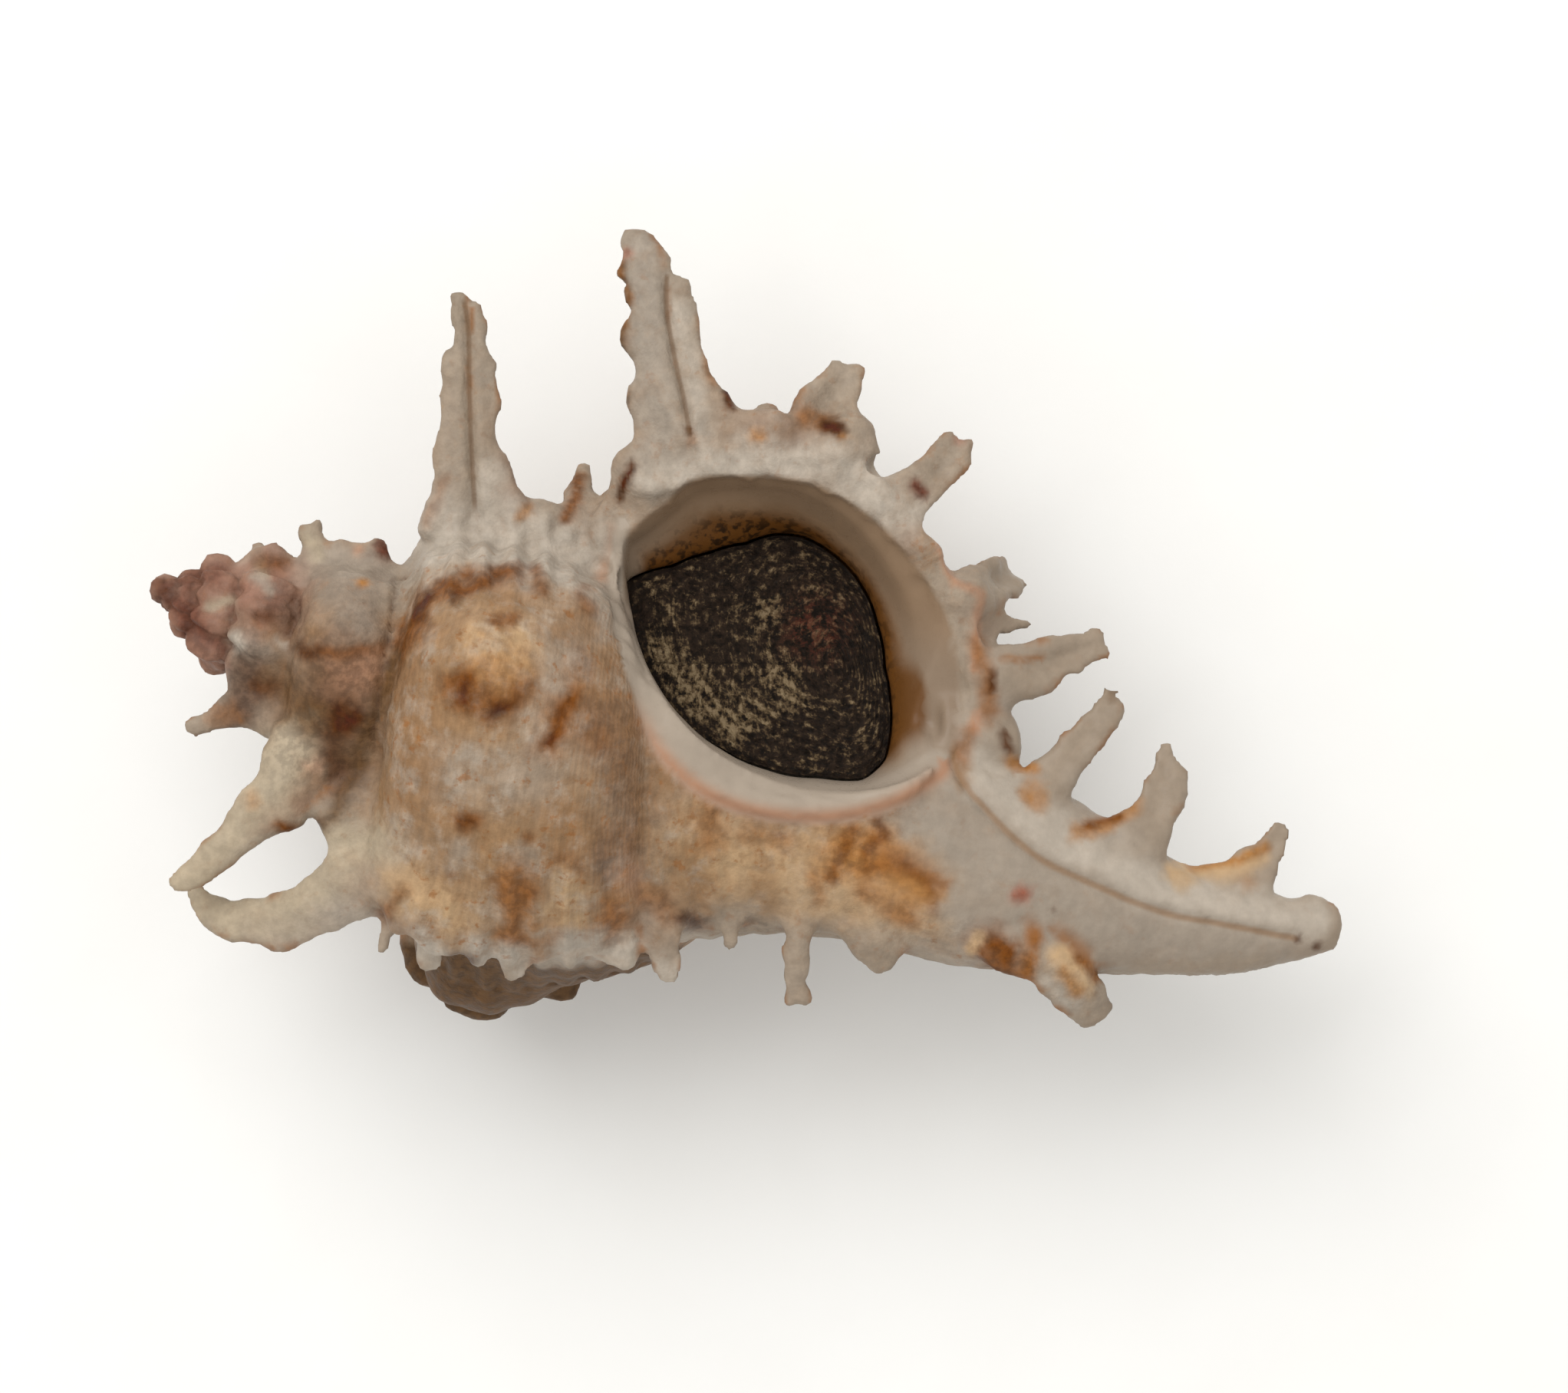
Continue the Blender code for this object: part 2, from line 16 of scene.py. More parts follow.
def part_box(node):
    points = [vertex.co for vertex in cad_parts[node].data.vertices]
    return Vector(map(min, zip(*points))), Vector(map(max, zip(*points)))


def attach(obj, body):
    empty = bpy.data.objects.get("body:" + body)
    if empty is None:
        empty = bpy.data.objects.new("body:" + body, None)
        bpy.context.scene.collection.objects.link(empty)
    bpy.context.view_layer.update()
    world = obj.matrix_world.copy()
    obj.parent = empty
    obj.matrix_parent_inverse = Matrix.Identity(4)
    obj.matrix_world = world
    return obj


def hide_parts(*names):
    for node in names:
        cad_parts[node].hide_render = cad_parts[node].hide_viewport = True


MM = 0.001

# The axis of the coil, in millimetres and degrees. It lies level, and seen from above it falls to the right.
APEX_X = -48.1
APEX_Y = 3.9
AXIS_HEIGHT = 25.4
AXIS_FALL = 20.0

# The coiled tube at the lip: the radius and station of its middle, and half its width and length
TUBE_RADIUS = 13.0
TUBE_STATION = 48.8
TUBE_HALF_WIDTH = 13.6
TUBE_HALF_LENGTH = 17.9
LIP_BEARING = 80.0

# What each of these grows by in one turn
RADIUS_GROWTH = 1.85
STATION_GROWTH = 1.72
SIZE_GROWTH = 1.80
EARLY_WIDENING = 0.2
FIRST_SHELL = 2230.0

# Varices and knobs, in degrees of growth back from the lip: (growth, angle round the tube, swell)
VARICES = (0.0, 112.0, 212.0)
SPIRE_VARICES_END = 1300.0
VARIX_SWELL = 0.33
KNOBS = ((70.0, 14.0, 0.55), (168.0, 9.0, 0.60), (292.0, 18.0, 0.26))
RIBS_PER_TURN = 8
RIB_SWELL = 0.16
SPIRE_RIBS_START = 940.0
THREADS_AROUND = 144.0
CORD_ANGLE = 13.0
CORD_SWELL = 0.016
FLUTE_SWELL = 0.04
BEADS_PER_TURN = 11
FLUTES = 2.7
FLUTES_ABOVE = 22.0
LIP_RIDGES = 19.0
LINES_PER_TURN = 60.0

# The neck and the canal: station, side, rise, half width and half thickness
NECK = [
    (36, 0, 0, 9, 8), (43.3, 0, 0, 14.6, 11), (50.7, 0.6, 0, 12.6, 8.6), (55.6, 1.1, 0, 10.8, 7.6),
    (62.9, 1.6, 0, 9.3, 6.6), (70.2, 1.6, -0.2, 8.5, 5.8), (76.9, 1.9, -0.6, 7.2, 5),
    (85.2, 2.5, -1.4, 5, 3.8), (92.4, 3.8, -2.4, 3.7, 2.8), (97.6, 5.6, -3.3, 2.3, 1.9),
    (99.4, 6.4, -3.6, 1.6, 1.4),
]

# The rounded first whorls
APEX_STATION = 1.9
APEX_LENGTH = 1.9
APEX_RADIUS = 1.35

# The hollow: the wall at the lip and deeper in, where it ends, and the edge of the opening from above
LIP_WALL = 4.6
DEEP_WALL = 3.0
HOLLOW_START = 22.0
HOLLOW_END = 130.0
OPENING_MIDDLE = (48.7, 12.4)
OPENING_FLOOR = -9.0
OPENING_EDGE = [
    (-9.9, 7.7), (-8.5, 8.8), (-6.7, 10.1), (-5.2, 11.5), (-3.6, 12.3), (0, 12.4), (3.4, 12.2), (6.6, 11.2),
    (9.6, 9.4), (12.2, 6.9), (14.4, 4), (16, 1), (16.8, -2.4), (16.9, -6), (16.4, -8.8), (15.2, -10.7),
    (13.6, -11.6), (11.6, -12.3), (9, -12.7), (5.3, -12.7), (1.8, -11.8), (-1.6, -10.1), (-4.4, -7.9),
    (-6.7, -5), (-8.4, -1.8), (-9.4, 1.6), (-9.9, 4.8),
]
INNER_EDGE = [
    (-9.5, 7.2), (-7.6, 8.4), (-4.6, 10.9), (-2.8, 11.6), (2.8, 11.5), (6, 10.4), (9, 8.1), (11.4, 4.8),
    (12.9, 1.4), (13.6, -3), (13.9, -7), (13.6, -10), (12.6, -11.4), (9, -12.4), (5.3, -12.4), (2, -11.5),
    (-1.4, -9.8), (-4.2, -7.6), (-6.5, -4.8), (-8.2, -1.8), (-9.2, 1.6), (-9.7, 4.8),
]
INNER_LIP = [
    (-9.6, 10.4, 25.2), (-10.3, 7.4, 27.2), (-10.6, 4.4, 29.6), (-10.3, 1.4, 32.2), (-9.4, -2.2, 34.4),
    (-8, -5.8, 35.2), (-6.2, -9.1, 35.3), (-3.4, -11.8, 34.8), (0.2, -13.4, 34), (4.2, -14, 33.2),
    (8.2, -13.8, 32.6), (11.6, -12.8, 32.2), (13.6, -11.7, 31.8), (15.2, -10.7, 31),
]
INNER_LIP_RADIUS = 1.15
LIP_RISE = 2.2
LIP_RISE_MORE = 1.5

# Rings of the opening: height over the lip, shares of the way out to the edge and in to the lid, wall height
BAND_RINGS = (
    (20.0, 1.04, 0.0, 3.0), (1.6, 1.04, 0.0, 1.3), (0.25, 1.0, 0.0, 0.94), (-0.1, 0.78, 0.0, 0.8),
    (-0.5, 0.5, 0.0, 0.66), (-1.0, 0.2, 0.0, 0.5), (-1.9, 0.0, 0.05, 0.34),
)
WALL_RINGS = ((0.55, 0.45, 0.2), (0.2, 0.85, 0.08), (0.0, 1.0, 0.0))

# The operculum: its edge as (station, side) from the middle of the opening, its rise there, its slope
OPERCULUM_EDGE = [
    (-12.7, 1), (-9.6, 3.4), (-7.2, 5.4), (-4.7, 7.1), (-3, 8.5), (-0.8, 9.2), (2.2, 8.7), (5.2, 7.1),
    (7.4, 4.6), (9.1, 1.6), (10.4, -0.6), (11.3, -2.9), (11.7, -5.4), (10.6, -7.4), (7.2, -8.4),
    (2.9, -9.2), (-0.8, -9), (-4.3, -8), (-7.4, -6.2), (-9.7, -4), (-11.9, -1.2),
]
OPERCULUM_RISE = -0.7
OPERCULUM_SLOPE = -0.33
OPERCULUM_DOME = 0.5
OPERCULUM_THICKNESS = 1.8
LID_UNDERSIDE = (
    (1.0, 1.2), (0.97, 1.6), (0.85, OPERCULUM_THICKNESS), (0.5, OPERCULUM_THICKNESS),
    (0.2, OPERCULUM_THICKNESS),
)
LID_RIDGES = 12.0
LID_GAP = 0.22
NUCLEUS = (7.6, -2.4)
GOLD_LINE = [(-6.6, -1.4), (-4.8, -4.4), (-1.0, -7.2)]

# How ragged the spines are, how deep their gutters, and how wide a stroke is that shows whole
RAGGED = 0.24
RAGGED_SPIKY = 0.45
GUTTER_DEPTH = 1.3
SMALL_STROKE = 1.5

# Fine lines are drawn above this height, which keeps them off the hidden side
LINES_ABOVE = 24.0

# How fine the mesh is, in millimetres and triangles, and how far it may stand past the solid's box
LINE_STEPS = 90
FROND_STEP = 0.35
FUSING_STEP = 0.42
SKIN_STEP = 0.36
SOFTENING_ROUNDS = 2
SHELL_TRIANGLES = 190000
BOX_SPARE = 0.6
FLOOR_BLOCK = (60.0, 50.0, 20.0)

# How deep the finest relief is, in metres, and how strongly each surface shines
SHELL_BUMP = 0.00015
LID_BUMP = 0.0008
FLOOR_BUMP = 0.0001
SHELL_SPECULAR = 0.12
LID_SPECULAR = 0.25

# The studio, in metres
VIEW_MIDDLE = (0.0030, -0.0051, 0.0265)
VIEW_WIDTH = 0.12635
CAMERA_DISTANCE = 0.7
SENSOR_WIDTH = 36.0
FLOOR_HALF = 1.5
SKY_STRENGTH = 0.85
LAMP_PLACE = (-0.24, 0.34, 0.66)
LAMP_WIDTH = 0.55
LAMP_POWER = 4.0


def srgb(red, green, blue):
    """A colour read in screen values, 0 to 255, as linear values."""
    value = np.array([red, green, blue]) / 255.0
    return np.where(value <= 0.04045, value / 12.92, ((value + 0.055) / 1.055) ** 2.4)


# Places

def place(station, side, rise):
    """World points from the station along the axis, the side of the lip and the rise above the axis."""
    fall = math.radians(AXIS_FALL)
    x = APEX_X + station * math.cos(fall) + side * math.sin(fall)
    y = APEX_Y - station * math.sin(fall) + side * math.cos(fall)
    return np.stack(np.broadcast_arrays(x, y, AXIS_HEIGHT + rise), axis=-1)


def on_axis(points):
    """Station, side and rise of world points."""
    fall = math.radians(AXIS_FALL)
    x, y = points[:, 0] - APEX_X, points[:, 1] - APEX_Y
    station = x * math.cos(fall) - y * math.sin(fall)
    side = x * math.sin(fall) + y * math.cos(fall)
    return station, side, points[:, 2] - AXIS_HEIGHT


def around(station, radius, bearing):
    """World points this far from the axis, at a bearing in degrees, from straight up towards the lip."""
    turn = np.radians(bearing)
    return place(station, radius * np.sin(turn), radius * np.cos(turn))


# Small functions of shape

def bump(distance, width):
    return np.exp(-((distance / width) ** 2))


def ramp(value, start, end):
    share = np.clip((value - start) / (end - start), 0.0, 1.0)
    return share * share * (3.0 - 2.0 * share)


def wrapped(angle):
    return (angle + 180.0) % 360.0 - 180.0


def circle(step):
    """Angles once round in radians, a step in degrees apart."""
    return np.radians(np.arange(0.0, 360.0, step))


def spot(points, x, y, width):
    """1 at a place in plan, fading with the distance from it."""
    return bump(np.hypot(points[:, 0] - x, points[:, 1] - y), width)


def ends_faded(share, start, end):
    """1 along a line, rising over its first share, and falling between two shares at its end."""
    return ramp(share, 0.0, start) * (1.0 - ramp(share, end[0], end[1]))


def unit(rows):
    return rows / (np.linalg.norm(rows, axis=1)[:, None] + 1e-9)


def lattice(cell, seed):
    """A random number from -1 to 1 for each whole-numbered cell."""
    mixed = cell[..., 0] * 374761393 + cell[..., 1] * 668265263
    mixed = mixed + cell[..., 2] * 1274126177 + seed * 974634777
    mixed = (mixed ^ (mixed >> 13)) & 0xFFFFFFFF
    mixed = (mixed * 1103515245 + 12345) & 0xFFFFFFFF
    mixed = (mixed ^ (mixed >> 16)) & 0xFFFFFF
    return mixed / 8388607.5 - 1.0


def lumps(points, size, seed=0):
    """Smooth noise from -1 to 1, with lumps of this size."""
    scaled = np.asarray(points, float) / size
    low = np.floor(scaled).astype(np.int64)
    part = scaled - low
    part = part * part * (3.0 - 2.0 * part)
    total = 0.0
    for corner in range(8):
        step = np.array([corner & 1, corner >> 1 & 1, corner >> 2 & 1])
        weight = np.prod(np.where(step, part, 1.0 - part), axis=-1)
        total = total + weight * lattice(low + step, seed)
    return total


def rough(points, size, seed=0):
    """Lumps of this size with finer ones on them."""
    fine = lumps(points, size * 0.47, seed + 7) * 0.3 + lumps(points, size * 0.22, seed + 13) * 0.15
    return lumps(points, size, seed) * 0.6 + fine


# The growing tube

def varix_shape(back):
    """A varix across the growth: it swells slowly, stops at its lip, and the next shell starts inside it."""
    step = ramp(-back, 0.0, 6.0)
    dip = -0.65 * np.exp(np.minimum(back + 6.0, 0.0) / 16.0)
    return np.where(back > 0.0, bump(back, 14.0), (1.0 - step) + step * dip)


def relief(growth, around_tube):
    """How far the tube stands out, as a share of its half width. The angle round it is 0 outward and 90
    towards the apex."""
    shoulder = 0.07 * bump(wrapped(around_tube - 40.0), 20.0)
    shoulder = shoulder - 0.05 * bump(wrapped(around_tube - 84.0), 24.0)
    facing = bump(wrapped(around_tube - 20.0), 34.0)
    outer = bump(wrapped(around_tube), 75.0)
    cords = 0.5 + 0.5 * np.cos(np.radians(around_tube * 360.0 / CORD_ANGLE))
    total = shoulder + CORD_SWELL * outer * (cords - 0.5)
    for turn in range(int(SPIRE_VARICES_END // 360) + 2):
        for varix in VARICES:
            at = varix + 360.0 * turn
            if at < SPIRE_VARICES_END:
                back = growth - at + 3.0 * outer * (cords - 0.5)
                total += VARIX_SWELL * facing * varix_shape(back)
                total += FLUTE_SWELL * outer * (cords - 0.5) * bump(back + 8.0, 26.0)
        for knob, height_angle, swell in KNOBS:
            at = knob + 360.0 * turn
            if at < SPIRE_VARICES_END:
                near = bump(growth - at, 15.0) * bump(wrapped(around_tube - height_angle), 21.0)
                total += swell * near * (0.94 + 0.08 * cords)
    early = np.clip((growth - SPIRE_RIBS_START) / 150.0, 0.0, 1.0)
    ribs = np.cos(np.radians(growth * RIBS_PER_TURN))
    total += early * RIB_SWELL * ribs * bump(wrapped(around_tube - 15.0), 42.0)
    return total - early * 0.10 * bump(np.abs(wrapped(around_tube)) - 90.0, 22.0)


def tube_size(growth):
    """The radius and station of the tube's middle, and half its width and length."""
    turns = growth / 360.0
    early = 1.0 + EARLY_WIDENING * np.clip(turns - 2.0, 0.0, 2.4) ** 1.5
    size = SIZE_GROWTH ** -turns
    return (
        early * TUBE_RADIUS * RADIUS_GROWTH ** -turns, TUBE_STATION * STATION_GROWTH ** -turns,
        TUBE_HALF_WIDTH * early * size, TUBE_HALF_LENGTH * (0.4 + 0.6 * early) * size,
    )


def tube_points(growth, around_tube, inset=0.0, carved=True):
    """Points of the coiled tube, or of one smaller by inset millimetres."""
    middle, station, half_width, half_length = tube_size(growth)
    ring = 1.0 + (relief(growth, around_tube) if carved else 0.0)
    turn = np.radians(around_tube)
    radius = middle + (half_width * ring - inset) * np.cos(turn)
    station = station - (half_length * ring - inset) * np.sin(turn)
    return around(station, radius, LIP_BEARING + growth)


def on_tube(points):
    """For each point: growth, angle round the tube, how far out it is, 1 being the plain surface, and how
    much further the next whorl is than the one chosen."""
    station, side, rise = on_axis(points)
    radius = np.hypot(side, rise)
    bearing = np.degrees(np.arctan2(side, rise))
    best, second = np.full((2, len(points)), 1e9)
    found_growth, found_angle, found_reach = np.zeros((3, len(points)))
    for turn in range(-1, 7):
        growth = (bearing - LIP_BEARING + 20.0) % 360.0 - 20.0 + 360.0 * turn
        middle, centre, half_width, half_length = tube_size(np.maximum(growth, -30.0))
        out, back = (radius - middle) / half_width, (centre - station) / half_length
        reach = np.hypot(out, back)
        miss = np.where(growth > -30.0, np.abs(reach - 1.0) * half_width, 1e6)
        closer = miss < best
        second = np.where(closer, best, np.minimum(second, miss))
        best = np.where(closer, miss, best)
        found_growth = np.where(closer, growth, found_growth)
        found_angle = np.where(closer, np.degrees(np.arctan2(back, out)), found_angle)
        found_reach = np.where(closer, reach, found_reach)
    return found_growth, found_angle, found_reach, second - best


def tube_outward(points, growth):
    """The direction from the middle of the tube to each point."""
    middle, station, _, _ = tube_size(growth)
    return unit(points - around(station, middle, LIP_BEARING + growth))


# Skins

def smooth_through(points, count):
    """A Catmull-Rom curve through rows of numbers, as count rows."""
    rows = np.array(points, float)
    padded = np.vstack([2 * rows[0] - rows[1], rows, 2 * rows[-1] - rows[-2]])
    where = np.linspace(0.0, len(rows) - 1.000001, count)
    start = where.astype(int)
    t = (where - start)[:, None]
    a, b, c, d = (padded[start + k] for k in range(4))
    return 0.5 * (2 * b + (c - a) * t + (2 * a - 5 * b + 4 * c - d) * t**2 + (3 * b - a - 3 * c + d) * t**3)


def axes_along(line):
    """Two directions square to a line at each of its points: level across it, and the one above that."""
    ahead = unit(np.gradient(line, axis=0))
    across = unit(np.cross(ahead, (0.0, 0.0, 1.0)))
    return across, np.cross(across, ahead)


def loft(rings):
    """A closed bmesh skin over rings of points, capped at both ends."""
    skin = bmesh.new()
    loops = [[skin.verts.new(point) for point in ring] for ring in rings]
    for lower, upper in zip(loops, loops[1:]):
        for k in range(len(lower)):
            following = (k + 1) % len(lower)
            skin.faces.new((lower[k], lower[following], upper[following], upper[k]))
    for end in (loops[0], loops[-1]):
        middle = skin.verts.new(sum((v.co for v in end), Vector()) / len(end))
        for k in range(len(end)):
            skin.faces.new((end[k], end[(k + 1) % len(end)], middle))
    bmesh.ops.recalc_face_normals(skin, faces=skin.faces)
    return skin


def coiled_tube():
    growth = np.arange(0.0, FIRST_SHELL, 2.0)[::-1]
    around_tube = np.arange(0.0, 360.0, 3.0)
    return loft([tube_points(np.full_like(around_tube, g), around_tube) for g in growth])


def apex():
    """The rounded first whorls at the tip of the spire."""
    turn = np.arange(0.0, 360.0, 20.0)
    rings = []
    for step in np.linspace(0.0, math.pi, 14)[1:-1]:
        station = np.full_like(turn, APEX_STATION - APEX_LENGTH * math.cos(step))
        rings.append(around(station, APEX_RADIUS * math.sin(step) ** 0.8, turn))
    return loft(rings)


def hollow_tube():
    """The inside of the tube, from below the opening back to the closed end of the hollow."""
    around_tube = np.arange(0.0, 360.0, 10.0)
    rings = []
    for growth in np.arange(HOLLOW_START, HOLLOW_END + 1.0, 6.0):
        wall = LIP_WALL + (DEEP_WALL - LIP_WALL) * np.clip(growth / 40.0, 0.0, 1.0)
        closing = np.clip((growth - HOLLOW_END + 40.0) / 40.0, 0.0, 1.0)
        inset = wall + 5.0 * closing**2
        rings.append(tube_points(np.full_like(around_tube, growth), around_tube, inset, carved=False))
    return loft(rings)


def reach_of(outline, turn):
    """How far an outline round the middle of the opening reaches in each direction."""
    station, side = np.array(outline, float).T
    angle = np.arctan2(side, station)
    order = np.argsort(angle)
    return np.interp(turn, angle[order], np.hypot(station, side)[order], period=2 * math.pi)


def from_opening(outline):
    """World outline points as (station, side) from the middle of the opening."""
    points = np.column_stack([np.array(smooth_through(outline + outline[:1], 90)), np.zeros(90)])
    station, side, _ = on_axis(points)
    return np.column_stack([station - OPENING_MIDDLE[0], side - OPENING_MIDDLE[1]])[:-1]


def opening_ring(turn, reach, rise, slope):
    """A ring of points over the middle of the opening, sloping across it."""
    side = reach * np.sin(turn)
    return place(OPENING_MIDDLE[0] + reach * np.cos(turn), OPENING_MIDDLE[1] + side, rise + slope * side)


def mouth():
    """The open space over the hollow. On the lip's side a band slopes gently down from the edge, and the
    wall steepens below it; on the other side the wall runs down evenly from the inner lip to the lid."""
    turn = circle(3.0)
    outer = reach_of(from_opening(OPENING_EDGE), turn)
    inner = reach_of(from_opening(INNER_EDGE), turn)
    lid = reach_of(OPERCULUM_EDGE, turn) + LID_GAP
    lip_side = ramp(np.sin(turn - 0.35), -0.25, 0.35)
    teeth = lip_side * (0.16 * np.cos(turn * 26.0) + 0.12 * np.cos(turn * 41.0 + 1.0))
    crest = np.interp(turn, *crest_of_inner_lip(), period=2 * math.pi)
    lip_top = LIP_RISE + LIP_RISE_MORE * np.maximum(np.sin(turn), 0.0)
    lid_rise = OPERCULUM_RISE + OPERCULUM_SLOPE * lid * np.sin(turn)
    rings = []
    for level, to_outer, to_lid, up_wall in BAND_RINGS:
        reach = (outer + teeth) * to_outer + inner * (1.0 - to_outer)
        reach = reach * (1.0 - to_lid) + lid * to_lid
        rings.append((lip_top + level, reach, up_wall, 0.0))
    for share, to_lid, up_wall in WALL_RINGS:
        reach = inner * (1.0 - to_lid) + lid * to_lid
        rings.append((lid_rise + (lip_top + BAND_RINGS[-1][0] - lid_rise) * share, reach, up_wall, 0.0))
    rings += [(lid_rise - 2.5, lid, -0.4, 0.0), (lid_rise - 5.5, lid, -0.8, 3.0)]
    skins = []
    for rise, reach, up_wall, shrink in rings:
        down = np.clip(1.0 - up_wall, 0.0, 1.0)
        wall = outer + (lid - outer) * down**0.9 - 0.25 * np.sin(math.pi * down)
        wall_rise = lid_rise + (crest - lid_rise) * up_wall
        reach = lip_side * reach + (1.0 - lip_side) * wall - shrink
        skins.append(opening_ring(turn, reach, lip_side * rise + (1.0 - lip_side) * wall_rise, 0.0))
    return loft(skins)


def crest_of_inner_lip():
    """Directions from the middle of the opening, and the rise of the inner lip in each."""
    station, side, rise = on_axis(np.array(INNER_LIP))
    turn = np.arctan2(side - OPENING_MIDDLE[1], station - OPENING_MIDDLE[0]) % (2 * math.pi)
    order = np.argsort(turn)
    return turn[order], rise[order]


def inner_lip():
    """The glossy lip on the body side of the opening, a rounded cord."""
    turn = circle(20.0)
    line = smooth_through(INNER_LIP, LINE_STEPS)
    rings = []
    for k, (middle, across, upward) in enumerate(zip(line, *axes_along(line))):
        ends = min(1.0, 0.35 + 0.06 * min(k, len(line) - 1 - k))
        radius = INNER_LIP_RADIUS * ends * (0.3 + 0.55 * min(1.0, 2.0 * k / len(line)))
        rings.append(middle + radius * (np.outer(np.cos(turn), across) + np.outer(np.sin(turn), upward)))
    return loft(rings)


def neck():
    """The neck below the body whorl and the siphonal canal, in ellipses across the axis."""
    turn = circle(5.0)
    rings = []
    for station, side, rise, half_width, half_depth in smooth_through(NECK, LINE_STEPS):
        across, up = half_width * np.cos(turn), half_depth * np.sin(turn)
        rings.append(place(np.full_like(turn, station), side + across, rise + up))
    return loft(rings)


def frond(points, thickness=0.5, gutter=0.0, ragged=0.2, seed=0):
    """A spine through points (x, y, z, half width), flattened across its growing face, with ragged edges."""
    points = np.array(points, float)
    length = np.linalg.norm(np.diff(points[:, :3], axis=0), axis=1).sum()
    rows = smooth_through(points, max(8, int(length / FROND_STEP)))
    line, width = rows[:, :3], np.maximum(rows[:, 3], FROND_STEP)
    across, front = axes_along(line)
    turn = circle(12.0)
    share = np.linspace(0.0, 1.0, len(rows))
    rings = []
    for k in range(len(rows)):
        marks = np.array([[k * FROND_STEP, 0.0, 0.0], [k * FROND_STEP, 9.0, 0.0]])
        edges = lumps(marks, 1.3, seed) * 0.8 + lumps(marks, 0.7, seed + 3) * 0.7
        worn = ragged * ramp(share[k], 0.1, 0.4) * min(1.0, 1.6 / width[k])
        right, left = 1.0 + worn * edges
        side = np.cos(turn) * width[k] * np.where(np.cos(turn) > 0, right, left)
        lift = np.sin(turn) * np.maximum(width[k] * thickness, 0.5)
        hollow = 1.0 - gutter * bump(np.cos(turn), 0.5) * ramp(share[k], 0.2, 0.55)
        lift = np.where(lift > 0, lift * hollow, lift)
        rings.append(line[k] + np.outer(side, across[k]) + np.outer(lift, front[k]))
    return loft(rings)


def tines(points, length=0.7, spread=0.30):
    """Two blunt points that a spine forks into at its tip."""
    points = np.array(points, float)
    tip, before = points[-1], points[-2]
    ahead = (tip - before)[:3] / np.linalg.norm((tip - before)[:3])
    width = max(0.6, 0.5 * before[3])
    made = []
    for turn, share in ((-spread, 1.0), (spread, 0.7)):
        x = ahead[0] * math.cos(turn) - ahead[1] * math.sin(turn)
        y = ahead[0] * math.sin(turn) + ahead[1] * math.cos(turn)
        away = np.array([x, y, ahead[2]])
        sideways = np.array([-ahead[1], ahead[0], 0.0]) * math.copysign(0.35 * before[3], turn)
        start = tip[:3] - 1.4 * ahead + sideways
        reach = 1.2 + length * share
        made.append([
            (*(start + away * reach * out), width * slim)
            for out, slim in ((0.0, 1.0), (0.6, 0.9), (1.0, 0.7))
        ])
    return made


def radial_frond(station, bearing, root, tip, half_width, lean=0.0, turn_back=0.0):
    """Points of a spine that stands out from the axis, leaning along the axis and turning back round it."""
    rows = []
    for share in (0.0, 0.35, 0.7, 1.0):
        point = around(station + lean * share, root + (tip - root) * share, bearing + turn_back * share**2)
        rows.append((*point, half_width * (1.0 - 0.72 * share)))
    return rows


def floor_level():
    """A block below the floor, which wears the lowest spines flat."""
    x, y, depth = FLOOR_BLOCK
    corners = np.array([(-x, -y), (x, -y), (x, y), (-x, y)])
    return loft([np.column_stack([corners, np.full(4, height)]) for height in (-depth, 0.0)])


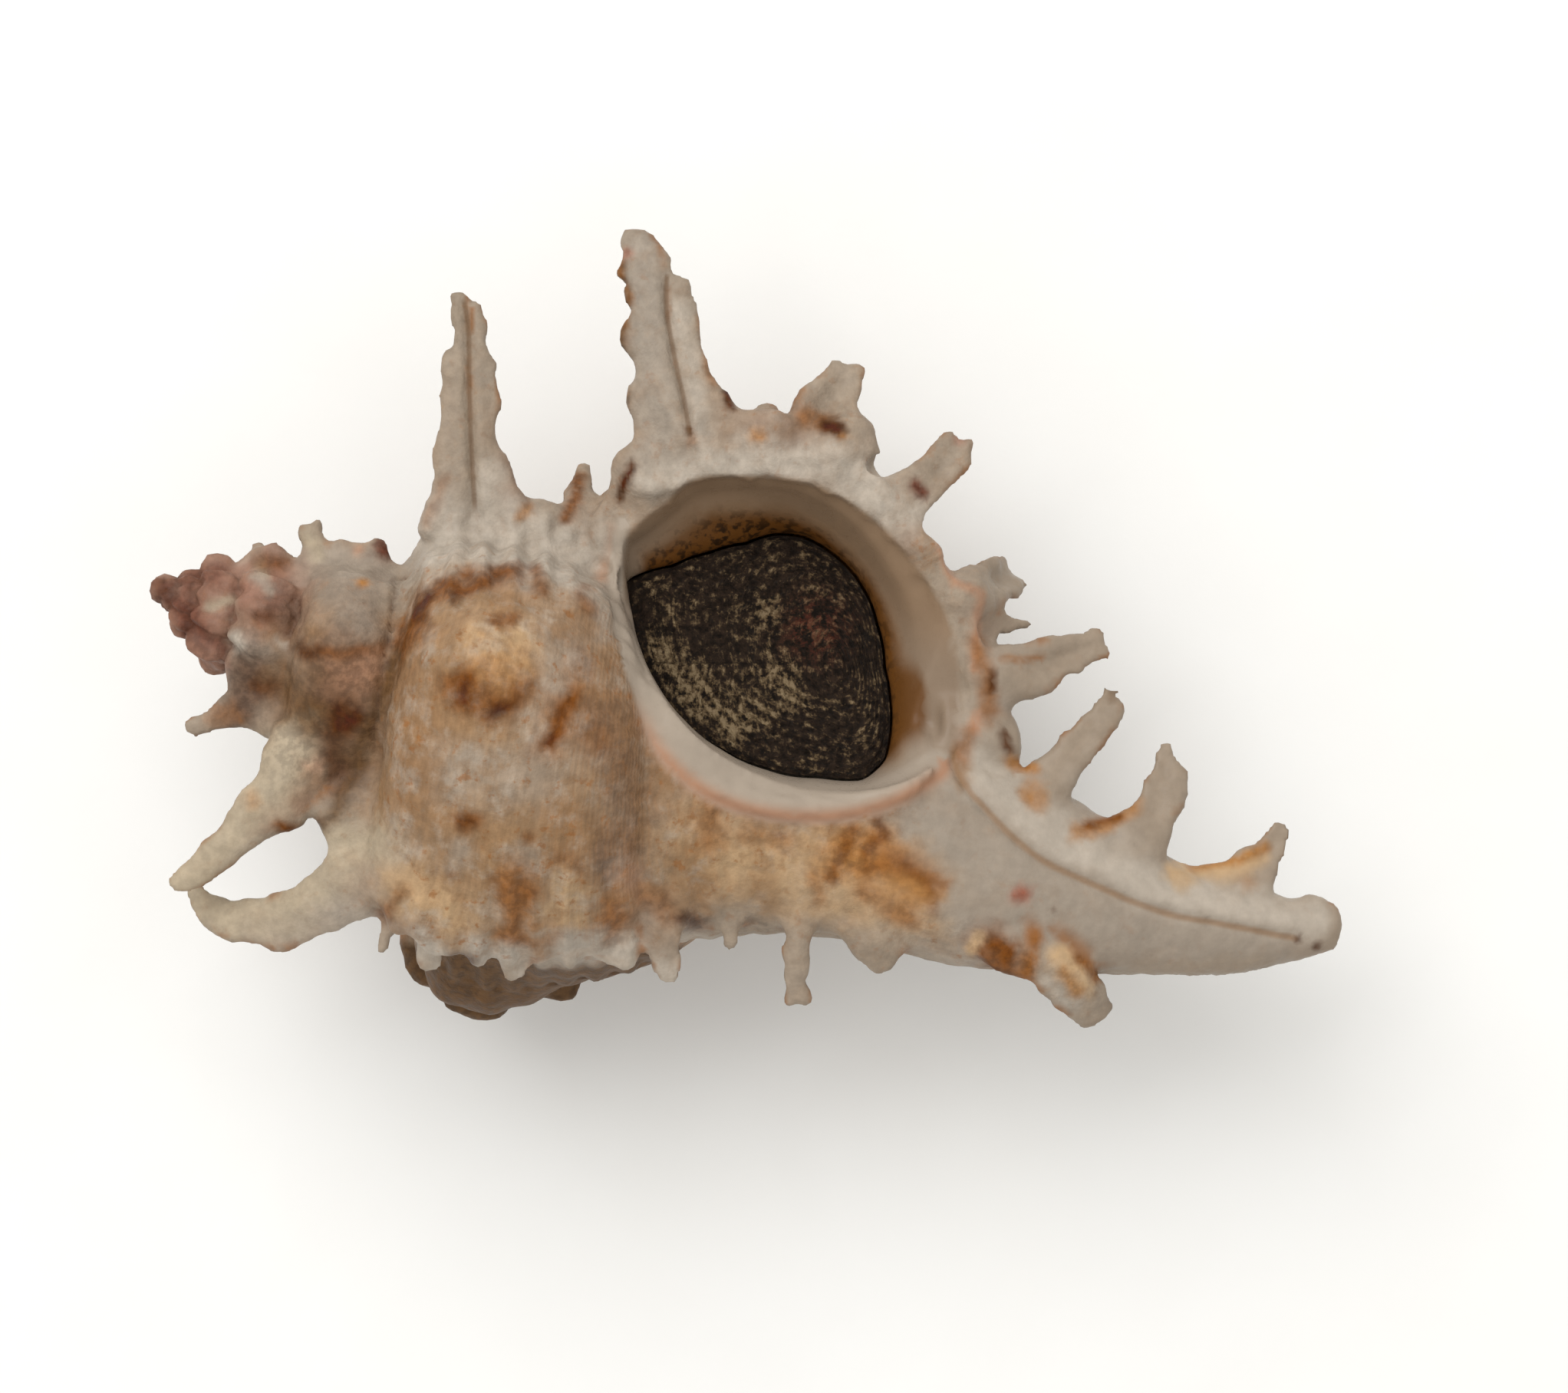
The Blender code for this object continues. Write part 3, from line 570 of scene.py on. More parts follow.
# The spines that the photograph shows: (x, y, z, half width) from root to tip
LIP_FRONDS = {
    "shoulder_left": [
        (-6.6, 11.4, 28.8, 3), (-6.8, 15.5, 28.9, 2.5), (-7.3, 20.4, 28.6, 2.2), (-7.9, 24.6, 28, 1.85),
        (-7.8, 27.2, 27.3, 1.65), (-8.3, 29.4, 26.6, 1.95), (-9, 31.2, 25.9, 1.7), (-9.6, 32.5, 25.4, 1),
    ],
    "shoulder_right": [
        (-1.6, 12.4, 28.8, 3), (-2.4, 15.8, 28.8, 2.5), (-3.7, 19.8, 28.4, 1.7), (-4.8, 23.4, 27.9, 1.45),
        (-5.2, 26.4, 27.4, 1.2), (-5.3, 28.9, 26.9, 0.95),
    ],
    "shoulder_spur": [(-2.6, 17.6, 28.2, 1.2), (-1.4, 18.8, 27.9, 0.7)],
    "upper_frond": [
        (6.9, 13.9, 29, 4.3), (6.8, 15.5, 28.9, 3.9), (6.6, 17.2, 28.6, 3.2), (6.9, 18.6, 28.4, 2.6),
        (7.6, 20, 28, 2), (8.1, 21.6, 27.3, 1.4),
    ],
    "upper_spur": [(1.6, 15.6, 28.2, 2.2), (1.6, 17.4, 27.6, 1), (1.2, 18.2, 27.4, 0.4)],
    "outer_frond": [
        (12.1, 9.9, 28.4, 2.6), (13.6, 11.4, 28.2, 2.1), (14.7, 12.6, 28, 1.9), (16, 14.1, 27.6, 1.7),
        (16.8, 15.2, 27.2, 1.5), (17.1, 15.8, 27, 1.2),
    ],
    "outer_spur": [(9.4, 12, 28, 1.6), (10.3, 13.6, 27.6, 0.6)],
    "bent_frond": [
        (17, 2.8, 27.8, 2.6), (18.9, 3.8, 26.4, 2.3), (20.7, 4.5, 23.8, 2), (21.6, 5.1, 20.6, 1.6),
    ],
    "bent_spur": [(18.4, 0.2, 26.6, 1.6), (20.6, 0.6, 25.4, 1.1), (23.1, 0.8, 24, 0.6)],
    "side_frond": [
        (17.6, -4.2, 27.6, 3.1), (21.4, -3.4, 27.2, 2.7), (24.5, -2.3, 26.6, 1.9), (26.7, -1.5, 26, 1.6),
        (28.9, -0.7, 25.2, 1.1),
    ],
    "side_web": [(15.5, -8.4, 27, 4), (19.4, -8.6, 26.8, 3.4), (21.8, -8.8, 26.6, 2.2)],
    "lower_frond": [
        (22.4, -14.3, 26.8, 3.2), (25, -11.1, 26.8, 1.9), (27.1, -8.7, 26.7, 1.7), (28.9, -6.3, 26.4, 1.3),
        (29.5, -4.2, 26, 0.8),
    ],
    "lower_lobe": [(28, -8, 26.5, 1.3), (29.6, -6.6, 26.2, 1), (30.4, -5.8, 26, 0.6)],
    "canal_frond": [
        (30.2, -18.8, 25.8, 4), (31.3, -16.9, 25.8, 3.1), (32.5, -15.3, 25.7, 2.1),
        (33.2, -13.6, 25.5, 1.8), (33.8, -11.6, 25, 1.6), (33.9, -9.6, 24.4, 1), (33.8, -8.6, 24.2, 0.6),
    ],
    "canal_lobe": [(33.8, -14.2, 25.2, 1.5), (34.8, -12.2, 24.9, 1.2), (35.6, -10.9, 24.6, 0.6)],
    "end_frond": [
        (37.6, -21.7, 23.8, 3.4), (40.3, -19.9, 23.8, 2.4), (41.9, -18.2, 23.6, 1.7),
        (42.9, -16.6, 23.2, 1.2), (43.4, -15.1, 22.8, 0.7),
    ],
    "canal_end": [(44.4, -23.3, 22.6, 2.8), (46.6, -23.9, 22.1, 2.2), (48, -24.1, 21.8, 1.9)],
}
SPIRE_FRONDS = {
    "old_shoulder_left": [
        (-24.2, 7.6, 28, 2.6), (-23.6, 11.4, 28.2, 1.8), (-23.4, 16.9, 27.9, 1.45),
        (-23.7, 21.2, 27.4, 1.45), (-23.2, 23, 27, 1), (-23.2, 25.4, 26.5, 0.9), (-23.4, 27.6, 26, 0.7),
    ],
    "old_shoulder_right": [
        (-18.8, 7.6, 28, 3), (-20.2, 11.4, 28.2, 2), (-21, 16.9, 27.8, 1.4), (-21.3, 21.4, 27.2, 1.2),
        (-21.7, 24.6, 26.6, 0.95), (-22.2, 26.8, 26.1, 0.6),
    ],
    "old_knob": [(-29.8, 5, 27, 1.5), (-29.6, 6.6, 26.8, 1.3), (-29.5, 7.8, 26.4, 0.8)],
    "old_frond": [(-13.2, 7.8, 26.4, 2.6), (-13.5, 11, 24.4, 1.5), (-13.1, 14.1, 22.2, 0.7)],
    "old_flange": [(-17.6, 5.6, 27, 4.2), (-17, 8.6, 26.6, 3.6), (-16.6, 10.6, 26.2, 2.4)],
    "older_spine": [(-34.6, 4.6, 27.2, 1.9), (-35, 7, 26.6, 1.1), (-35.3, 8.7, 26, 0.6)],
    "oldest_spine": [(-39.9, 4.6, 26, 1.1), (-39.3, 7.4, 24.6, 0.6)],
}
LEFT_FRONDS = {
    "left_shoulder_spine": [
        (-25.2, -16.9, 31.6, 4.2), (-30.5, -19.5, 31.2, 3.4), (-33.6, -21.5, 30.4, 2.7),
        (-36.4, -22.9, 29.4, 2.4), (-39.2, -23.3, 28.3, 2.1), (-41.6, -22.9, 27.4, 1.7),
        (-43.7, -21.8, 26.6, 1.2), (-44.9, -20.4, 26, 0.6),
    ],
    "bulge_left": [(-22, -16, 13, 6), (-24.6, -25.6, 13, 4.2), (-25.6, -29.2, 13, 1.9)],
    "bulge_middle": [(-20.6, -16, 13.5, 6), (-21.6, -26, 13, 4.4), (-22.8, -31.3, 12.5, 2.4)],
    "bulge_right": [(-15, -18, 14, 5), (-15.6, -26, 14, 3.4), (-16.1, -29.9, 14, 1.8)],
    "left_web": [(-27.6, -13.5, 30.4, 4.8), (-31.2, -15, 30.8, 3.8), (-33.9, -16, 31, 2.6)],
    "older_web": [(-35.6, -3.6, 28, 3.4), (-37.8, -6.4, 28.4, 2.6), (-38.8, -8.4, 28.6, 1.8)],
    "left_spur": [(-27.6, -21, 31.4, 1.8), (-28.8, -24, 31, 0.8), (-29.5, -25.9, 30.8, 0.4)],
    "left_frill_1": [(-25, -21.8, 32, 1.6), (-25.2, -24.6, 31.6, 1.3), (-25.2, -27.2, 30.8, 0.9)],
    "left_frill_2": [(-21.2, -21.8, 32.6, 1.5), (-21.1, -24.4, 32, 1.2), (-20.9, -26.2, 31.2, 0.8)],
    "left_frill_3": [(-18, -21.8, 32.8, 1.6), (-18.3, -25, 32, 1.3), (-18.5, -27.8, 31, 0.9)],
    "left_frill_4": [(-14.4, -21.2, 32.4, 1.6), (-14.3, -24.2, 31.8, 1.5), (-13.8, -26.6, 31, 1.1)],
    "left_frill_5": [(-10.4, -20.8, 31.6, 1.8), (-10.2, -24, 31, 1.7), (-9.9, -26.8, 30.2, 1.4)],
    "left_frill_6": [(-6.9, -21, 30.8, 1.9), (-6.5, -25.4, 30.2, 1.3), (-6.1, -28.2, 29.6, 0.8)],
    "left_frill_7": [(-1.6, -20.4, 29.6, 1.7), (-1.3, -23.6, 29.2, 1.1), (-1.3, -25.6, 28.8, 0.8)],
    "left_frond": [
        (4.1, -19.6, 29.4, 2.6), (4.1, -23.4, 29, 1.5), (4.1, -26.6, 28.4, 1.2), (4.1, -29.8, 27.8, 1.1),
    ],
    "left_lobe": [(9.9, -22.6, 28.6, 3.4), (10.6, -25.4, 28.2, 2.1), (10.9, -27.4, 27.8, 0.8)],
    "old_canal": [
        (15.8, -21.4, 27.6, 2.2), (19.6, -24.2, 28.6, 2.3), (23.6, -26.1, 28.4, 2.3),
        (26.4, -28.6, 27, 2.2), (28.5, -31.2, 25, 1.7),
    ],
    "older_left_spine": [
        (-34.6, -8.6, 30.4, 3.8), (-36.8, -12.7, 31, 2.9), (-39.2, -14.8, 31.4, 2.3),
        (-40.9, -16.5, 31.5, 1.9), (-42.9, -18.2, 31.4, 1.6), (-44.7, -19.6, 31.1, 1.2),
        (-46.2, -20.2, 30.8, 0.6),
    ],
    "oldest_left_spine": [
        (-39.4, -5.2, 28.2, 2.2), (-41.6, -6.4, 28.2, 1.4), (-43.5, -7.2, 28, 1), (-45.3, -7.8, 27.6, 0.6),
    ],
}
SPIKY = ("shoulder_left", "shoulder_right", "old_shoulder_left", "old_shoulder_right", "old_flange")
GUTTERS = (
    "upper_frond", "outer_frond", "side_frond", "lower_frond", "canal_frond", "end_frond",
    "bent_frond",
)
FORKED = ("upper_frond", "outer_frond", "side_frond", "left_frond", "older_spine")

# The spines of the hidden varices: station, bearing, root and tip radius, half width, lean, turn back
BACK_FRONDS = (
    (36.0, 198.0, 19.0, 29.4, 3.6, -4.0, 12.0),
    (43.5, 192.0, 17.0, 27.4, 3.4, 0.0, 4.0),
    (50.5, 190.0, 11.0, 27.4, 3.0, 1.0, 2.0),
    (57.5, 184.0, 7.0, 27.0, 3.2, 2.0, 2.0),
    (65.0, 190.0, 5.0, 18.0, 2.2, 3.0, 4.0),
    (20.0, 200.0, 10.0, 24.0, 2.6, -4.0, 12.0),
    (26.0, 196.0, 11.0, 17.0, 1.8, 0.0, 4.0),
    (11.5, 200.0, 5.5, 12.0, 1.3, -2.5, 10.0),
)

# The fine lines down the front of the two long spines, and the slit of the canal
SEAMS = [
    [(-4.5, 15.4), (-5, 18.6), (-5.6, 21.2), (-6.3, 24.9), (-6.5, 27), (-6.4, 29)],
    [(-21.8, 9.4), (-22.1, 14.5), (-22.3, 19.3), (-22.4, 24.1), (-22.8, 27)],
]
SLIT = [
    (16.6, -9), (16.8, -10.8), (17.8, -12.6), (19.6, -14.6), (21.8, -16.8), (24, -18.4), (27.6, -20.1),
    (31, -21.6), (34.4, -22.7), (38, -23.4), (41.6, -24.1), (44.6, -24.7),
]


def all_fronds():
    """Name and points of every spine, in one fixed order."""
    rows = []
    for group in (LIP_FRONDS, SPIRE_FRONDS, LEFT_FRONDS):
        rows += list(group.items())
    rows += [(f"back_{k}", radial_frond(*row)) for k, row in enumerate(BACK_FRONDS)]
    return rows


# Mesh work

def as_object(name, skin):
    mesh = bpy.data.meshes.new(name)
    skin.to_mesh(mesh)
    skin.free()
    thing = bpy.data.objects.new(name, mesh)
    bpy.context.scene.collection.objects.link(thing)
    return thing


def applied(thing):
    """Puts the evaluated mesh in place of the object's own, with its modifiers used up."""
    bpy.context.view_layer.update()
    graph = bpy.context.evaluated_depsgraph_get()
    mesh = bpy.data.meshes.new_from_object(thing.evaluated_get(graph))
    old = thing.data
    thing.modifiers.clear()
    thing.data = mesh
    bpy.data.meshes.remove(old)
    return thing


def remeshed(thing, step):
    """One even skin over everything that touches, slightly softened."""
    remesh = thing.modifiers.new("skin", "REMESH")
    remesh.mode = "VOXEL"
    remesh.voxel_size = step
    soften = thing.modifiers.new("soften", "SMOOTH")
    soften.factor = 0.5
    soften.iterations = SOFTENING_ROUNDS
    return applied(thing)


def cut_away(thing, skin):
    cutter = as_object("cutter", skin)
    cut = thing.modifiers.new("cut", "BOOLEAN")
    cut.operation = "DIFFERENCE"
    cut.object = cutter
    applied(thing)
    bpy.data.objects.remove(cutter)
    return thing


def joined(skins):
    whole = bmesh.new()
    for skin in skins:
        part = bpy.data.meshes.new("part")
        skin.to_mesh(part)
        skin.free()
        whole.from_mesh(part)
        bpy.data.meshes.remove(part)
    return whole


def thinned(thing, triangles):
    thin = thing.modifiers.new("thin", "DECIMATE")
    thin.ratio = min(1.0, triangles / (2.0 * len(thing.data.polygons)))
    return applied(thing)


def raw_shell():
    """The fused and hollowed shell, in millimetres."""
    skins = [coiled_tube(), apex(), neck(), inner_lip()]
    for seed, (name, points) in enumerate(all_fronds()):
        ragged = RAGGED_SPIKY if name in SPIKY else RAGGED
        gutter = GUTTER_DEPTH if name in GUTTERS else 0.0
        skins.append(frond(points, gutter=gutter, ragged=ragged, seed=seed * 5))
        if name in FORKED:
            skins += [frond(tine, ragged=0.1, seed=seed * 5 + k) for k, tine in enumerate(tines(points))]
    shell = remeshed(as_object("murex_shell", joined(skins)), FUSING_STEP)
    for skin in (mouth(), hollow_tube(), floor_level()):
        cut_away(shell, skin)
    return remeshed(shell, SKIN_STEP)


def read_points(mesh):
    points, normals = np.zeros((2, len(mesh.vertices) * 3))
    mesh.vertices.foreach_get("co", points)
    mesh.vertices.foreach_get("normal", normals)
    return points.reshape(-1, 3), normals.reshape(-1, 3)


def write_points(mesh, points):
    mesh.vertices.foreach_set("co", points.ravel())
    mesh.update()


def write_fields(mesh, fields):
    """Keeps numbers and colours on the points of a mesh, by name."""
    for name, values in fields.items():
        if values.ndim == 1:
            layer = mesh.attributes.new(name, "FLOAT", "POINT")
            layer.data.foreach_set("value", values.astype(np.float32))
        else:
            layer = mesh.attributes.new(name, "FLOAT_COLOR", "POINT")
            filled = np.column_stack([values, np.ones(len(values))])
            layer.data.foreach_set("color", filled.astype(np.float32).ravel())


def signed_gap(points, line):
    """Signed distance in plan from a line drawn through (x, y) points, and the share of the way along it."""
    line = smooth_through(line, 60)
    best = np.full(len(points), 1e9)
    signed, along = np.full((2, len(points)), 9.0)
    for k, (start, end) in enumerate(zip(line, line[1:])):
        step = end - start
        offset = points[:, :2] - start
        share = np.clip(offset @ step / (step @ step), 0.0, 1.0)
        apart = offset - share[:, None] * step
        distance = np.hypot(apart[:, 0], apart[:, 1])
        closer = distance < best
        best = np.where(closer, distance, best)
        side = np.sign(step[0] * offset[:, 1] - step[1] * offset[:, 0])
        signed = np.where(closer, distance * side, signed)
        along = np.where(closer, (k + share) / (len(line) - 1), along)
    return signed, along


def apart_from(plan, line):
    """Distance in plan from a line of one or more points."""
    line = np.array(line, float)
    if len(line) == 1:
        return np.hypot(*(plan - line[0]).T)
    best = np.full(len(plan), 1e9)
    for start, end in zip(line, line[1:]):
        step = end - start
        share = np.clip((plan - start) @ step / (step @ step), 0.0, 1.0)
        best = np.minimum(best, np.hypot(*(plan - start - share[:, None] * step).T))
    return best


def near_fronds(points):
    """For each point: 1 on a spine and 0 off it, the share along it, and the place across it, -1 to 1."""
    on, along, across = np.zeros((3, len(points)))
    for _, rows in all_fronds():
        rows = smooth_through(rows, 14)
        low, high = rows[:, :3].min(axis=0) - 5.0, rows[:, :3].max(axis=0) + 5.0
        inside = np.flatnonzero(((points > low) & (points < high)).all(axis=1))
        sideways, _ = axes_along(rows[:, :3])
        offset = points[inside, None, :] - rows[None, :, :3]
        distance = np.linalg.norm(offset, axis=2) / (rows[None, :, 3] + 0.6)
        nearest = distance.argmin(axis=1)
        value = 1.0 - ramp(distance.min(axis=1), 0.85, 1.35)
        better = value > on[inside]
        chosen = inside[better]
        row = nearest[better]
        on[chosen] = value[better]
        along[chosen] = row / (len(rows) - 1.0)
        across[chosen] = (offset[better, row] * sideways[row]).sum(axis=1) / rows[row, 3]
    return on, along, across


def in_opening(points):
    """Share of the way in plan from the middle of the opening to its outer edge and to its inner edge, and
    how far each point lies towards the lip."""
    station, side, _ = on_axis(points)
    station, side = station - OPENING_MIDDLE[0], side - OPENING_MIDDLE[1]
    turn, reach = np.arctan2(side, station), np.hypot(station, side)
    return *(reach / reach_of(from_opening(edge), turn) for edge in (OPENING_EDGE, INNER_EDGE)), side


def kept_in(points, box):
    """Points held inside the box of the solid, so nothing sinks below the floor or reaches further out."""
    low, high = np.array(box, float) / MM
    low[:2] -= BOX_SPARE
    high += BOX_SPARE
    low[2] = 0.0
    return np.clip(points, low, high)


# Colours
WHITE = srgb(189, 177, 162)
GREY_WHITE = srgb(165, 152, 137)
GREY_TAN = srgb(150, 134, 118)
IVORY = srgb(184, 168, 144)
BONE = srgb(162, 146, 128)
CREAM = srgb(198, 166, 128)
TAN = srgb(160, 128, 96)
FAWN = srgb(150, 116, 84)
MAUVE = srgb(122, 92, 72)
SLATE = srgb(106, 84, 70)
UMBER = srgb(108, 80, 54)
SHADOW = srgb(92, 64, 52)
RUSTY = srgb(150, 98, 54)
BROWN = srgb(124, 74, 34)
DARK_BROWN = srgb(86, 48, 22)
ORANGE = srgb(176, 120, 62)
PEACH = srgb(184, 140, 112)
ROSE = srgb(164, 104, 84)
SPIRE_PINK = srgb(156, 118, 100)
SPIRE_RED = srgb(112, 69, 55)
PORCELAIN = srgb(176, 162, 146)
# The opening: the band colour down the lip's inner wall and the inside colour deeper in are darker than
# porcelain as painted shade, and the rust brown towards the lid is partly painted shade.
SHADED_BAND = srgb(148, 129, 110)
RUST = srgb(112, 76, 46)
INSIDE = srgb(152, 124, 97)
LID_DARK = srgb(22, 15, 9)
LID_BROWN = srgb(56, 41, 29)
LID_GOLD = srgb(144, 120, 86)
LID_PALE = srgb(172, 150, 116)
LID_RED = srgb(110, 44, 28)
FLOOR_PALE = srgb(236, 236, 234)
FLOOR_WARM = srgb(230, 229, 226)
SHELL_TONE = 0.80
GLAZE_LIGHT = 0.012

# Brown bands round the whorls: angle round the tube, half width, strength
BROWN_BANDS = ((14.0, 12.0, 1.0), (-26.0, 9.0, 0.8), (-58.0, 9.0, 0.7))

# Mottling: scale, detail, roughness, shift, the range that shows, how strongly, and its colour
MOTTLES = (
    (420.0, 5.0, 0.62, 3.0, 0.46, 0.68, 0.45, WHITE),
    (520.0, 5.0, 0.62, 7.0, 0.48, 0.66, 0.5, FAWN),
    (900.0, 4.0, 0.6, 5.0, 0.56, 0.68, 0.6, RUSTY),
)

